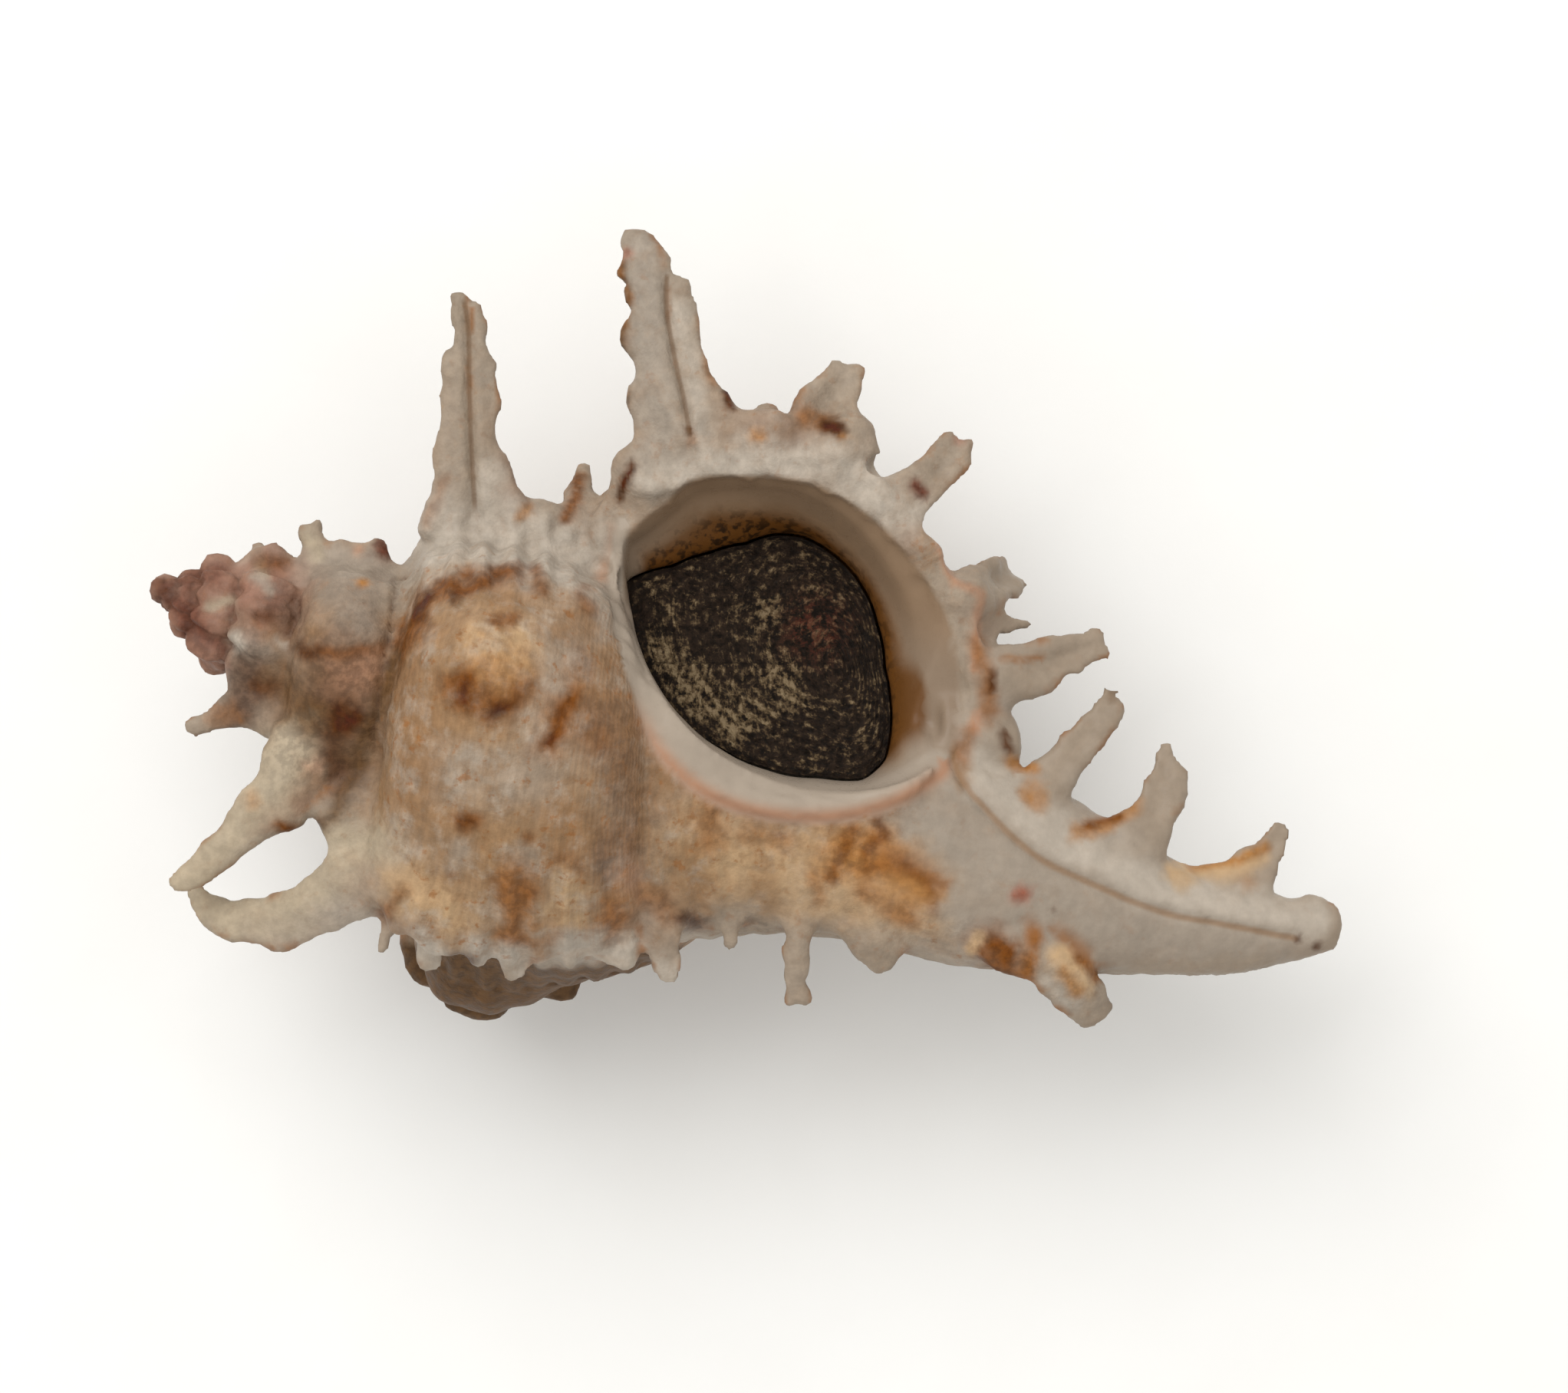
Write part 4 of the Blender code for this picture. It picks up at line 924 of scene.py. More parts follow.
# The markings seen from above, in the order of their growth: colour, strength, half width, and the x and y
# of each point on the line
STROKES = [
    # Body whorl and its flange
    (TAN, 0.9, 8, -21, -4, -20, -16), (FAWN, 0.6, 1.8, -9.8, 1.4, -9.2, -3.6, -7.6, -7.6),
    (FAWN, 0.7, 2.6, -27.4, -4, -25.4, -7, -26.4, -13), (FAWN, 0.85, 2.3, -13.4, 0, -12.2, -5),
    (GREY_WHITE, 0.55, 2.8, -23, -11, -17, -11.6, -14.6, -2),
    (WHITE, 0.95, 3, -25, 7.6, -20, 7.4, -15, 6.4, -11.4, 5), (GREY_WHITE, 0.7, 1.1, -11.4, 4.4, -11, 0),
    (MAUVE, 0.5, 2.2, -11, -7, -9.6, -12, -9, -17), (SLATE, 0.5, 1, -11.4, -15.6, -11.2, -19),
    (FAWN, 0.55, 2.2, -26.8, -8.2, -25.8, -10.4), (FAWN, 0.5, 1.6, -15, -14, -12.6, -16),
    (GREY_WHITE, 0.6, 1.2, -22.8, -17.8, -22.6, -16.8), (GREY_WHITE, 0.6, 1, -17.6, -18.4, -17.6, -17.4),
    (BROWN, 0.85, 0.95, -27.6, -1.4, -26.3, 1.2, -25.4, 2.9, -22.8, 3.7, -20.2, 4.5, -18.6, 4.9),
    (BROWN, 0.6, 1.1, -27.2, -1.8, -25.4, 0.4), (DARK_BROWN, 0.9, 0.6, -26.2, 1.4, -25.4, 3.1),
    (DARK_BROWN, 0.6, 0.45, -23.2, 3.4, -23, 2.4), (BROWN, 0.7, 0.6, -16.9, 5, -16.3, 3.2),
    # The cream on the upper side of the big knob is a painted highlight.
    (BROWN, 0.55, 0.7, -13, 3.2, -12.4, 1.8), (CREAM, 0.85, 1.9, -20.2, -1, -18.2, -1.4),
    (ORANGE, 0.45, 2, -20.8, -3, -17.8, -3.4), (BROWN, 0.75, 0.6, -19.9, 0.9, -18.3, 1),
    # The brown crescent below the knob is partly painted shade.
    (BROWN, 0.6, 1.1, -23.4, -4.2, -20.8, -5.6, -17.4, -4.4), (BROWN, 0.95, 1, -22.3, -4, -22.2, -5.4),
    (DARK_BROWN, 0.7, 0.6, -22.1, -4.6, -22.2, -5.3), (BROWN, 0.95, 1.1, -19.9, -6.3, -18.9, -6),
    (DARK_BROWN, 0.75, 0.6, -19.8, -6.4, -19.2, -6.2), (RUSTY, 0.5, 1.6, -13.6, -4.6, -15.6, -9),
    (BROWN, 0.9, 0.7, -13.6, -5, -14.6, -7.2, -15.7, -8.9), (DARK_BROWN, 0.6, 0.4, -15.4, -8.2, -15.8, -9),
    (BROWN, 0.9, 0.75, -22.4, -14.8, -21.6, -14.9), (DARK_BROWN, 0.5, 0.4, -22.1, -15),
    (BROWN, 0.6, 0.6, -17.2, -16.2), (BROWN, 0.5, 0.45, -23.2, -19.2),
    (BROWN, 0.35, 0.9, -13.6, -2, -12.8, -2.8), (BROWN, 0.4, 0.8, -12, -8, -11.6, -9.4),
    (BROWN, 0.35, 0.8, -14.6, -18.2, -13.4, -18.6), (PEACH, 0.6, 0.8, -10.6, 8, -11.2, 4.6),
    # Lower fringe of the body whorl
    (CREAM, 0.75, 2.2, -27, -20.4, -24, -22.4), (IVORY, 0.85, 2, -31.6, -16.6, -29.4, -17),
    (RUSTY, 0.8, 1.6, -18.4, -20, -18.2, -24.2), (BROWN, 0.5, 0.6, -17.2, -20.8),
    (CREAM, 0.7, 1.7, -14.4, -20.4, -14, -22.8), (RUSTY, 0.75, 1.5, -10.8, -22.2, -10.4, -24),
    (PEACH, 0.5, 1.3, -9.8, -19.4, -8.6, -20), (RUSTY, 0.6, 1.2, -7.6, -20.8, -6.4, -22.4),
    (BROWN, 0.6, 0.8, -28.9, -22.6, -27.4, -20.6), (WHITE, 0.9, 1.2, -25.9, -24.8, -24.2, -26.8),
    (WHITE, 0.9, 1.2, -21.4, -25, -20.6, -26), (WHITE, 0.9, 1.4, -18.8, -25.8, -18.2, -27.2),
    (WHITE, 0.9, 1.5, -14, -25.4, -9, -26, -6.2, -27.6), (SHADOW, 0.8, 0.6, -23.2, -26, -22, -26),
    (SHADOW, 0.9, 0.8, -5, -22.8, -3.6, -23.2), (SHADOW, 0.8, 0.7, -0.2, -23.4, 1, -23.3),
    # Neck below the opening
    (CREAM, 0.75, 4.2, -3, -17.6, 5, -18.6, 12.4, -21), (FAWN, 0.6, 2, -4.6, -18, -4, -20.4),
    (FAWN, 0.5, 1.4, 1.4, -19.4, 1.6, -21.2),
    (BONE, 0.8, 2, -1.6, -23.4, 3.6, -24.4, 9.6, -25.4, 14, -25.6),
    (RUSTY, 0.6, 1.2, -2.8, -14.2, -2.8, -17), (RUSTY, 0.5, 1.2, 0.2, -16, 3.2, -16.4),
    (BROWN, 0.5, 0.5, 2.7, -16), (ORANGE, 0.75, 2.4, 7.6, -17.6, 11, -18, 13.6, -20.4),
    (BROWN, 0.75, 0.7, 8.6, -16, 7.5, -17.6, 6.8, -19.6),
    (BROWN, 0.8, 0.6, 10.4, -14.8, 10.9, -16.4, 9.6, -17.6),
    (DARK_BROWN, 0.6, 0.35, 10.4, -14.8, 10.6, -15.4),
    (RUSTY, 0.8, 0.9, 9.6, -18.9, 11.4, -18.3, 13.8, -19, 15.6, -20),
    (BROWN, 0.6, 0.5, 12.6, -18.4, 14.6, -20.2, 15.2, -22.2),
    (RUSTY, 0.6, 0.9, 9.4, -20.6, 11.2, -22, 13.2, -22.8), (RUSTY, 0.5, 0.6, 5.4, -19.4, 5.8, -21.4),
    # Canal and the band beside its slit
    (GREY_WHITE, 0.95, 2.7, 14, -15.2, 20, -18.8, 27, -22.6, 34, -24.8, 42, -25.4),
    (GREY_WHITE, 0.9, 1.8, 17.2, -21.6, 18.2, -23, 25, -23.6),
    (WHITE, 0.95, 1.7, 18.6, -10.6, 22, -14.8, 27.6, -18.2, 34, -21, 40, -22.2, 46, -22.9),
    (ROSE, 0.9, 0.75, 21.9, -20.9, 22.3, -20.9), (SLATE, 0.5, 0.3, 24.6, -22.2),
    (FAWN, 0.6, 0.8, 16.7, -9.6, 17.4, -12), (DARK_BROWN, 0.8, 0.35, 44.5, -24.6),
    (DARK_BROWN, 0.8, 0.4, 46.2, -25.3), (BONE, 0.8, 0.8, 31, -27.4, 36, -27, 42, -26.6),
    # Old canal
    (BROWN, 0.95, 1.7, 19.6, -24.8, 20.6, -26.2), (CREAM, 0.8, 0.5, 18.6, -24.2, 18, -25.6),
    (RUSTY, 0.9, 0.8, 23.2, -24.2, 22.4, -27.4), (CREAM, 0.95, 1, 25.2, -25.8, 27.4, -28.2),
    (WHITE, 0.8, 0.8, 24.2, -28, 26.2, -29.8), (BROWN, 0.8, 0.5, 26.6, -26.2, 28.2, -27.9),
    (ORANGE, 0.6, 0.5, 25.4, -27.2, 26.6, -28.8), (BONE, 0.9, 1.2, 27.6, -30.2, 28.8, -31.4),
    # Lip and its spines
    (WHITE, 0.9, 2, -7, 12.4, 0, 13.6, 7, 13.6, 12.4, 9.4), (BONE, 0.9, 1.9, 15.4, 5, 16.6, 0, 16.8, -6),
    (GREY_WHITE, 0.9, 2.6, -6.8, 16, -7.6, 24, -8.6, 31), (WHITE, 0.7, 1, -3.6, 16, -5.2, 26),
    (UMBER, 0.8, 0.45, -9.7, 17, -9.8, 20.4, -10.2, 24, -9.6, 27, -10.4, 30),
    (RUSTY, 0.5, 0.45, -2.6, 20.2, -3.4, 22.8), (DARK_BROWN, 0.95, 0.5, -9.2, 13.4, -10.2, 10.9),
    (DARK_BROWN, 0.9, 0.5, -1.7, 19.4, -1.3, 18.2), (DARK_BROWN, 0.9, 0.42, -4.6, 16.2),
    (RUSTY, 0.5, 0.5, -4.4, 15.4), (ORANGE, 0.7, 0.6, 0.8, 15.7), (ROSE, 0.7, 0.6, -9.9, 30.6),
    (BONE, 0.85, 2, 7.2, 17.6, 8, 21), (ORANGE, 0.7, 0.45, 7.5, 15.9),
    (RUSTY, 0.7, 0.7, 4.6, 17.4, 6.6, 16.8), (DARK_BROWN, 1, 0.65, 6.2, 16.6, 7.3, 16.5),
    (BONE, 0.85, 1.8, 13.8, 12.4, 17.4, 16), (SPIRE_RED, 0.95, 0.6, 13.5, 11.9, 13.9, 11.2),
    (ROSE, 0.5, 0.6, 17.2, 15.7), (BONE, 0.85, 1.6, 18, 3.4, 21.4, 4.8),
    (PEACH, 0.7, 0.4, 15.3, 7, 16.7, 4.2, 18.8, 3.2, 18.6, 0.4, 18.2, -3),
    (BONE, 0.9, 2.2, 22.4, -3.6, 26, -2, 28.6, -0.8), (RUSTY, 0.7, 1, 18.4, -1, 19, -3.6, 19.4, -6.2),
    (DARK_BROWN, 0.8, 0.5, 19.7, -3.4, 19.6, -4.3), (RUSTY, 0.6, 0.35, 20.6, -2.2, 23.6, -2),
    (PEACH, 0.9, 0.6, 18.4, -6.8, 18.2, -7.6), (RUSTY, 0.6, 0.8, 17.6, -8.2, 17.4, -9.8),
    (BONE, 0.9, 1.9, 24.4, -12, 28, -7.6, 30, -4.6), (BONE, 0.9, 2, 33, -15.8, 34.8, -10),
    (BONE, 0.9, 1.6, 42.6, -17.8, 43.8, -15.6), (DARK_BROWN, 0.8, 0.5, 20.6, -8.2, 21.2, -9.4),
    (ORANGE, 0.75, 0.6, 21.2, -10.4, 23, -10.9), (ORANGE, 0.7, 0.8, 23.5, -13.8, 22.8, -12.6),
    (ORANGE, 0.7, 0.8, 26.4, -16, 28.6, -15.6, 31, -14), (BROWN, 0.9, 0.45, 27.6, -15.4, 30, -14.8),
    (CREAM, 0.9, 1, 34.8, -19.4, 38.4, -19.2, 41, -18.2),
    (ORANGE, 0.75, 0.5, 36, -18.9, 40, -18.2, 41.8, -17.2), (ORANGE, 0.4, 0.8, 40.4, -20.2),
    (UMBER, 0.5, 0.4, 29.6, -5.2, 29.7, -3.9),
    # Older flange with its long spine
    (BONE, 0.9, 2.4, -21.8, 12, -22.6, 20, -22.8, 27), (WHITE, 0.8, 1.4, -21, 9, -20.6, 13),
    (ORANGE, 0.6, 0.5, -18.2, 9.4, -17.8, 10), (BROWN, 0.8, 0.6, -14.6, 9.4, -13.9, 11, -13.6, 12.6),
    (RUSTY, 0.4, 0.6, -25.6, 9, -24.2, 12.4),
    # Spire
    (MAUVE, 0.85, 4.2, -32, -3, -34.4, -8.6), (UMBER, 0.6, 1.6, -35.6, -6.4, -36.6, -3.8),
    # Painted shade on the lower side of the penultimate whorl, beside a painted shadow.
    (UMBER, 0.8, 2, -35.4, -7.4, -32.4, -10.2), (SHADOW, 0.5, 1.4, -33.6, -8.6, -32.4, -12),
    (GREY_TAN, 0.9, 2.4, -34, 4.6, -31, 1.6, -30, 4), (GREY_WHITE, 0.5, 1, -34, 6, -31.6, 4.6),
    (BONE, 0.7, 1.4, -28.6, 2.6, -27.4, 4.6), (ORANGE, 0.85, 0.45, -30.8, 3.9),
    (SPIRE_RED, 0.95, 0.9, -29.4, 7, -28.8, 6.6), (PEACH, 0.7, 0.6, -31.4, 6.6),
    (DARK_BROWN, 0.8, 0.8, -35.6, -1.2, -34.2, -1.6), (BROWN, 0.6, 0.5, -33.4, -1.6, -29.2, -1.4),
    (PEACH, 0.45, 1.6, -31.6, -3.2, -29.6, -3), (DARK_BROWN, 1, 1.3, -32.4, -6.7, -31, -6.8),
    # Painted shadow down the suture between the whorls.
    (UMBER, 0.8, 0.8, -27.8, -2, -28.8, -4.6, -30.4, -8.8, -31.4, -11.8, -33.8, -15.6),
    (PEACH, 0.9, 0.55, -35, -10.7, -34.4, -10.6),
    (IVORY, 0.95, 2.4, -36.6, -9.6, -38.6, -12.6, -41, -15.6, -45, -19.4),
    (BROWN, 0.9, 0.6, -37.2, -15.4, -35.8, -15.8), (DARK_BROWN, 0.7, 0.5, -34.2, -15.2),
    (ORANGE, 0.4, 0.8, -39.4, -13.4), (IVORY, 0.9, 2.6, -33.4, -18, -37, -21.4, -42, -22.4, -44.6, -20.4),
    (SLATE, 0.85, 2, -40, -2, -40.6, -5.8), (GREY_WHITE, 0.5, 1, -40.6, -0.8, -38.8, -1.8),
    (DARK_BROWN, 0.7, 1.1, -39, -4.4, -38.2, -4.6), (RUSTY, 0.5, 0.9, -42.8, -6.8, -41.6, -6.4),
    (SPIRE_PINK, 0.95, 3.4, -38.6, 3.4, -44, 2.6), (SHADOW, 0.5, 1.4, -37.6, 3, -37, 0.8),
    (SPIRE_RED, 0.9, 1.4, -46.8, 3.4, -44.8, 1.2, -43.4, -1.2),
    (SPIRE_RED, 0.6, 0.9, -44.9, 4.2, -42.8, 4.6), (IVORY, 0.7, 0.5, -43, 2.2, -41.4, 2.4),
    (WHITE, 0.9, 0.5, -41, -0.4, -40.6, -1.2), (SPIRE_PINK, 0.8, 1, -44.2, -1.4, -42.4, -2.6),
    (WHITE, 0.8, 0.35, -37, -1), (IVORY, 0.7, 0.5, -39.2, 5.6, -38.8, 4.8),
    (GREY_WHITE, 0.7, 0.5, -39.4, 4.6, -38.2, 3.4), (GREY_WHITE, 0.6, 0.4, -37.6, -0.6),
    (BROWN, 0.7, 0.9, -39, 5.8, -37.2, 5.6), (DARK_BROWN, 0.6, 0.5, -39, 1.4, -38.2, 1.2),
    (DARK_BROWN, 0.7, 0.35, -46.8, 3.4), (IVORY, 0.8, 1, -35.4, 7.6, -34.8, 6.6),
]


def toned(colour):
    """A colour as seen without the pale light that the surface itself sends back."""
    return np.maximum(colour * SHELL_TONE - GLAZE_LIGHT, 0.003)


def mixed(under, over, share):
    return under + (over - under) * np.clip(share, 0.0, 1.0)[:, None]


def layered(colours, *layers):
    """Colours with others laid over them in turn, each a (colour, share)."""
    for colour, share in layers:
        colours = mixed(colours, colour, share)
    return colours


def stroked(points, upward, colours):
    """Colours with the markings laid over them, and how strongly the brown ones cover each point."""
    wander = np.column_stack([rough(points, 1.6, 61), rough(points, 1.6, 67)])
    broken = rough(points, 0.9, 71)
    marks = np.zeros(len(points))
    for colour, strength, width, *line in STROKES:
        line = np.reshape(line, (-1, 2))
        low, high = line.min(axis=0) - 2.5 * width - 1.0, line.max(axis=0) + 2.5 * width + 1.0
        within = ((points[:, :2] > low) & (points[:, :2] < high)).all(axis=1)
        inside = np.flatnonzero(within & (upward > 0.0))
        gap = apart_from(points[inside, :2] + wander[inside] * min(1.2, 0.8 * width), line)
        share = min(1.0, 1.1 * strength) * (1.0 - ramp(gap, 0.1 * width, 1.6 * width)) * upward[inside]
        if width < SMALL_STROKE:
            share = share * np.clip(1.0 + 0.45 * broken[inside], 0.0, 1.0)
        colours[inside] = mixed(colours[inside], colour, share)
        if colour[1] < FAWN[1] or colour is ORANGE:
            marks[inside] = np.maximum(marks[inside], share)
    return colours, marks


def growth_zones(growth):
    """How near each point is to the front face of a varix, and to the crest of one, at any turn."""
    front, crest = np.zeros((2, len(growth)))
    for varix in VARICES:
        back = wrapped(growth - varix)
        front = np.maximum(front, ramp(back, -34.0, -28.0) * (1.0 - ramp(back, -4.0, 2.0)))
        crest = np.maximum(crest, bump(back - 3.0, 9.0))
    return front, crest


def whorl_colours(points, growth, angle, reach):
    """The plain colours of the whorls, and how strong their brown bands are."""
    front, crest = growth_zones(growth)
    colours = mixed(np.tile(TAN, (len(points), 1)), GREY_WHITE, 0.35 + 0.7 * rough(points, 3.5, 3))
    bands = sum(share * bump(wrapped(angle - at), width) for at, width, share in BROWN_BANDS)
    bands = bands * ramp(rough(points, 5.0, 21) + 0.4 * np.cos(np.radians(growth * 10.0)), -0.3, 0.6)
    suture = ramp(np.abs(wrapped(angle)), 62.0, 96.0) * (reach < 1.3)
    colours = layered(
        colours, (RUSTY, 0.75 * bands), (BROWN, 0.9 * ramp(bands, 0.6, 1.0)), (MAUVE, 0.6 * suture),
        (WHITE, 0.8 * front), (GREY_WHITE, 0.5 * crest),
    )
    return colours, bands, front


def opening_colours(points, normals, growth, reach, colours):
    """Colours with those of the opening laid on, with painted shade down its walls and towards the lid, and
    where its gloss, its depth and its specks are.
    """
    rise = points[:, 2] - AXIS_HEIGHT
    to_outer, to_inner, leaning = in_opening(points)
    above_floor = rise > OPENING_FLOOR
    within = above_floor & (to_outer < 1.04)
    band = within * (1.0 - ramp(to_outer, 0.99, 1.03)) * ramp(to_inner, 0.86, 0.97)
    deep = within * (1.0 - ramp(to_inner, 0.84, 0.98))
    hollow = ((normals * tube_outward(points, growth)).sum(axis=1) < -0.1) & (reach < 0.93) & (rise < -7.0)
    deep = np.maximum(deep, hollow * (growth < HOLLOW_END + 5.0))
    corner = spot(points, -8.0, 5.6, 5.0)
    # Painted shade, darker towards the lid deeper in, with a dusty corner at the upper left and random
    # lumps.
    dust_and_depth_shade = rough(points, 2.6, 77) * 0.4 + 1.3 * ramp(1.0 - to_inner, 0.04, 0.3) + 0.5 * corner
    dust_and_depth_shade += 1.1 * spot(points, 12.4, -4.2, 5.4) * ramp(1.0 - to_inner, -0.06, 0.08)
    flank = spot(points, 12.4, -5.6, 3.4) * (1.0 - ramp(to_inner, 1.0, 1.14))
    lip_gap, lip_along = signed_gap(points, [row[:2] for row in INNER_LIP])
    lip_height = np.interp(lip_along, np.linspace(0.0, 1.0, len(INNER_LIP)), [row[2] for row in INNER_LIP])
    near_lip = (np.abs(points[:, 2] - lip_height) < 2.4) * 1.0
    lip_reach = 0.3 + 0.7 * ramp(lip_along, 0.34, 0.5)
    on_lip = (1.0 - ramp(np.abs(lip_gap), lip_reach, lip_reach + 0.6)) * near_lip
    wall = above_floor * (to_outer < 1.1 + 0.07 * ramp(lip_along, 0.36, 0.5))
    wall = wall * (1.0 - ramp(leaning, -3.0, 1.0)) * (1.0 - ramp(points[:, 0], 8.5, 11.0))
    # Painted shade in the crease where the wall meets the lid.
    beside_lid = wall * ramp(0.97 - to_inner, 0.0, 0.05) * ramp(-points[:, 0], 3.0, 6.0)
    peach = near_lip * bump(lip_gap + 0.7, 0.6) * ramp(lip_along, 0.32, 0.5)
    # The band down the lip's inner wall is painted darker than the porcelain as shade, and darker still on
    # the lip's side. The inside and the rust brown deeper in are partly painted shade.
    colours = layered(
        colours, (SHADED_BAND, band), (INSIDE, 0.6 * band * ramp(leaning, 2.0, 8.0)),
        (PORCELAIN, 0.7 * band * (1.0 - ramp(leaning, -6.0, 0.0))), (INSIDE, deep),
        (RUST, deep * ramp(dust_and_depth_shade, 0.2, 1.0)), (RUST, 0.9 * within * ramp(flank, 0.2, 0.7)),
        (PORCELAIN, np.maximum(on_lip, wall)), (RUST, 0.8 * beside_lid), (PEACH, 0.95 * peach),
    )
    specks = (1.0 - wall) * deep * np.maximum(ramp(1.0 - to_inner, 0.08, 0.26), 0.8 * corner)
    return colours, on_lip + band + wall, deep, specks


def fine_lines(points, upward):
    """How far each point is from the seam of a long spine and from the slit, and how strongly each shows."""
    seam, seam_on = np.zeros((2, len(points)))
    for line in SEAMS:
        gap, share = signed_gap(points, line)
        near = (np.abs(gap) < 2.5) & (points[:, 2] > LINES_ABOVE)
        seam = np.where(near, gap, seam)
        seam_on = np.where(near, upward * ends_faded(share, 0.05, (0.97, 1.0)), seam_on)
    slit, share = signed_gap(points, SLIT)
    slit_on = (np.abs(slit) < 3.0) * upward * ends_faded(share, 0.05, (0.985, 1.0))
    return {"seam": seam, "seam_on": seam_on, "slit": slit, "slit_on": slit_on}


def paint(points, normals):
    """The tint of each point and how strongly each kind of detail lies on it."""
    growth, angle, reach, sure = on_tube(points)
    station, side, _ = on_axis(points)
    on_frond, along, across = near_fronds(points)
    off_frond = 1.0 - on_frond
    x, y, z = points.T
    upward = ramp(normals[:, 2], -0.25, 0.15) * ramp(z, 17.0, 21.0)
    colours, bands, front = whorl_colours(points, growth, angle, reach)
    colours = layered(
        colours, (SPIRE_PINK, 0.85 * ramp(growth, 960.0, 1150.0) * off_frond),
        (GREY_WHITE, 0.7 * ramp(station, 58.0, 68.0)), (BONE, 0.8 * on_frond * ramp(along, 0.15, 0.6)),
    )
    colours, strokes = stroked(points, upward, colours)
    # The spines' edges are browner: partly their own colour, partly painted shade on their rounded sides.
    edges = on_frond * ramp(np.abs(across), 0.6, 1.0) * ramp(rough(points, 1.8, 91), -0.2, 0.3)
    # Painted shade: the low surface under the fringe's teeth, with the bulges there, is darkened to umber
    # and counted with the marks.
    below = ramp(-y, 24.8, 25.8) * (1.0 - ramp(z, 27.5, 29.5)) * ramp(-x, 2.0, 6.0)
    marks = np.maximum(np.where(upward > 0.5, strokes, bands * off_frond), below)
    colours = layered(
        colours, (RUSTY, 0.7 * edges * ramp(along, 0.3, 0.5)), (UMBER, 0.95 * below),
        (SHADOW, 0.6 * bump(sure, 0.25) * ramp(growth, 300.0, 500.0) * off_frond),
    )
    colours, glossy, deep, specks = opening_colours(points, normals, growth, reach, colours)
    canal = upward * ramp(station, 61.0, 66.0) * ramp(side, -4.0, -2.0)
    clear = 1.0 - np.clip(glossy + deep, 0.0, 1.0)
    lower = ramp(-wrapped(angle), 10.0, 35.0) * (1.0 - ramp(growth, 330.0, 400.0))
    threads = clear * (1.0 - canal) * (1.0 - front) * ramp(sure, 0.3, 1.2) * (1.0 - on_frond * 0.8)
    mottle = clear * (1.0 - 0.8 * canal) * (1.0 - 0.5 * front) * (1.0 - 0.6 * on_frond)
    return {
        "tint": toned(colours), "marks": marks * clear, "specks": specks,
        "mottle": mottle * (1.0 - 0.7 * ramp(growth, 300.0, 450.0)),
        "gloss": np.clip(glossy + 0.7 * deep + 0.6 * canal, 0.0, 1.0),
        "threads": threads * (0.05 + 0.4 * np.maximum(lower, ramp(station, 54.0, 60.0))),
        "thread": angle / 360.0 * THREADS_AROUND, "lines": growth / 360.0 * LINES_PER_TURN,
        **fine_lines(points, upward),
    }


def carve(points, normals):
    """Raises the fine lumps, beads, flutes and growth steps of the surface."""
    growth, _, _, sure = on_tube(points)
    on_frond, _, _ = near_fronds(points)
    to_outer, _, leaning = in_opening(points)
    station, side, rise = on_axis(points)
    x, y, z = points.T
    bare = 1.0 - on_frond
    size = tube_size(growth)[2]
    beads = 0.16 * rough(points, 1.1, 11) + 0.13 * size * np.cos(np.radians(growth * BEADS_PER_TURN))
    lift = 0.20 * rough(points, 3.2) + 0.11 * rough(points, 1.2, 5)
    lift += ramp(growth, 850.0, 1000.0) * bare * beads
    lift -= ramp(growth, 300.0, 500.0) * bare * np.minimum(0.5, 0.2 * size) * bump(sure, 0.3)
    knobs = 0.22 * rough(points, 1.8, 43) + 0.12 * rough(points, 0.9, 47)
    lift += ramp(growth, 330.0, 480.0) * bare * knobs
    lift += on_frond * (0.16 * rough(points, 1.4, 9) + 0.05 * rough(points, 0.7, 19))
    steps = np.cos(np.radians(growth * 45.0 + 60.0 * rough(points, 6.0, 17)))
    lift += bare * 0.04 * steps * ramp(sure, 0.3, 1.2)
    waver = (x + 0.5 * rough(points, 4.0, 23)) * FLUTES
    high = z > FLUTES_ABOVE
    lift += bump(x + 19.0, 8.0) * bump(y - 6.0, 3.4) * high * 0.36 * np.cos(waver)
    lower = bump(x + 15.0, 15.0) * ramp(-y, 17.0, 20.0) * high * ramp(3.0 - x, 0.0, 4.0)
    lift += lower * 0.22 * np.cos(waver + 1.0)
    turned = np.arctan2(side - OPENING_MIDDLE[1], station - OPENING_MIDDLE[0])
    face = ramp(to_outer, 1.02, 1.08) * (1.0 - ramp(to_outer, 1.3, 1.55)) * (rise > 0.0)
    lift += face * ramp(leaning, -6.0, 0.0) * 0.34 * np.cos(turned * LIP_RIDGES + 1.0)
    lift *= 1.0 - ((to_outer < 1.03) & (rise > OPENING_FLOOR))
    facing_up = normals[:, 2] > 0.2
    slit_gap, share = signed_gap(points, SLIT)
    beside = facing_up * ends_faded(share, 0.06, (0.97, 1.0)) * (rise > -6.0)
    lift += beside * (0.30 * bump(slit_gap - 1.2, 0.9) - 0.42 * bump(slit_gap, 0.35))
    for line in SEAMS:
        gap, share = signed_gap(points, line)
        on_line = facing_up * ends_faded(share, 0.05, (0.9, 1.0)) * (z > LINES_ABOVE)
        lift += on_line * (0.22 * bump(np.abs(gap) - 0.8, 0.5) - 0.35 * bump(gap, 0.3))
    return points + normals * lift[:, None]


# The pieces

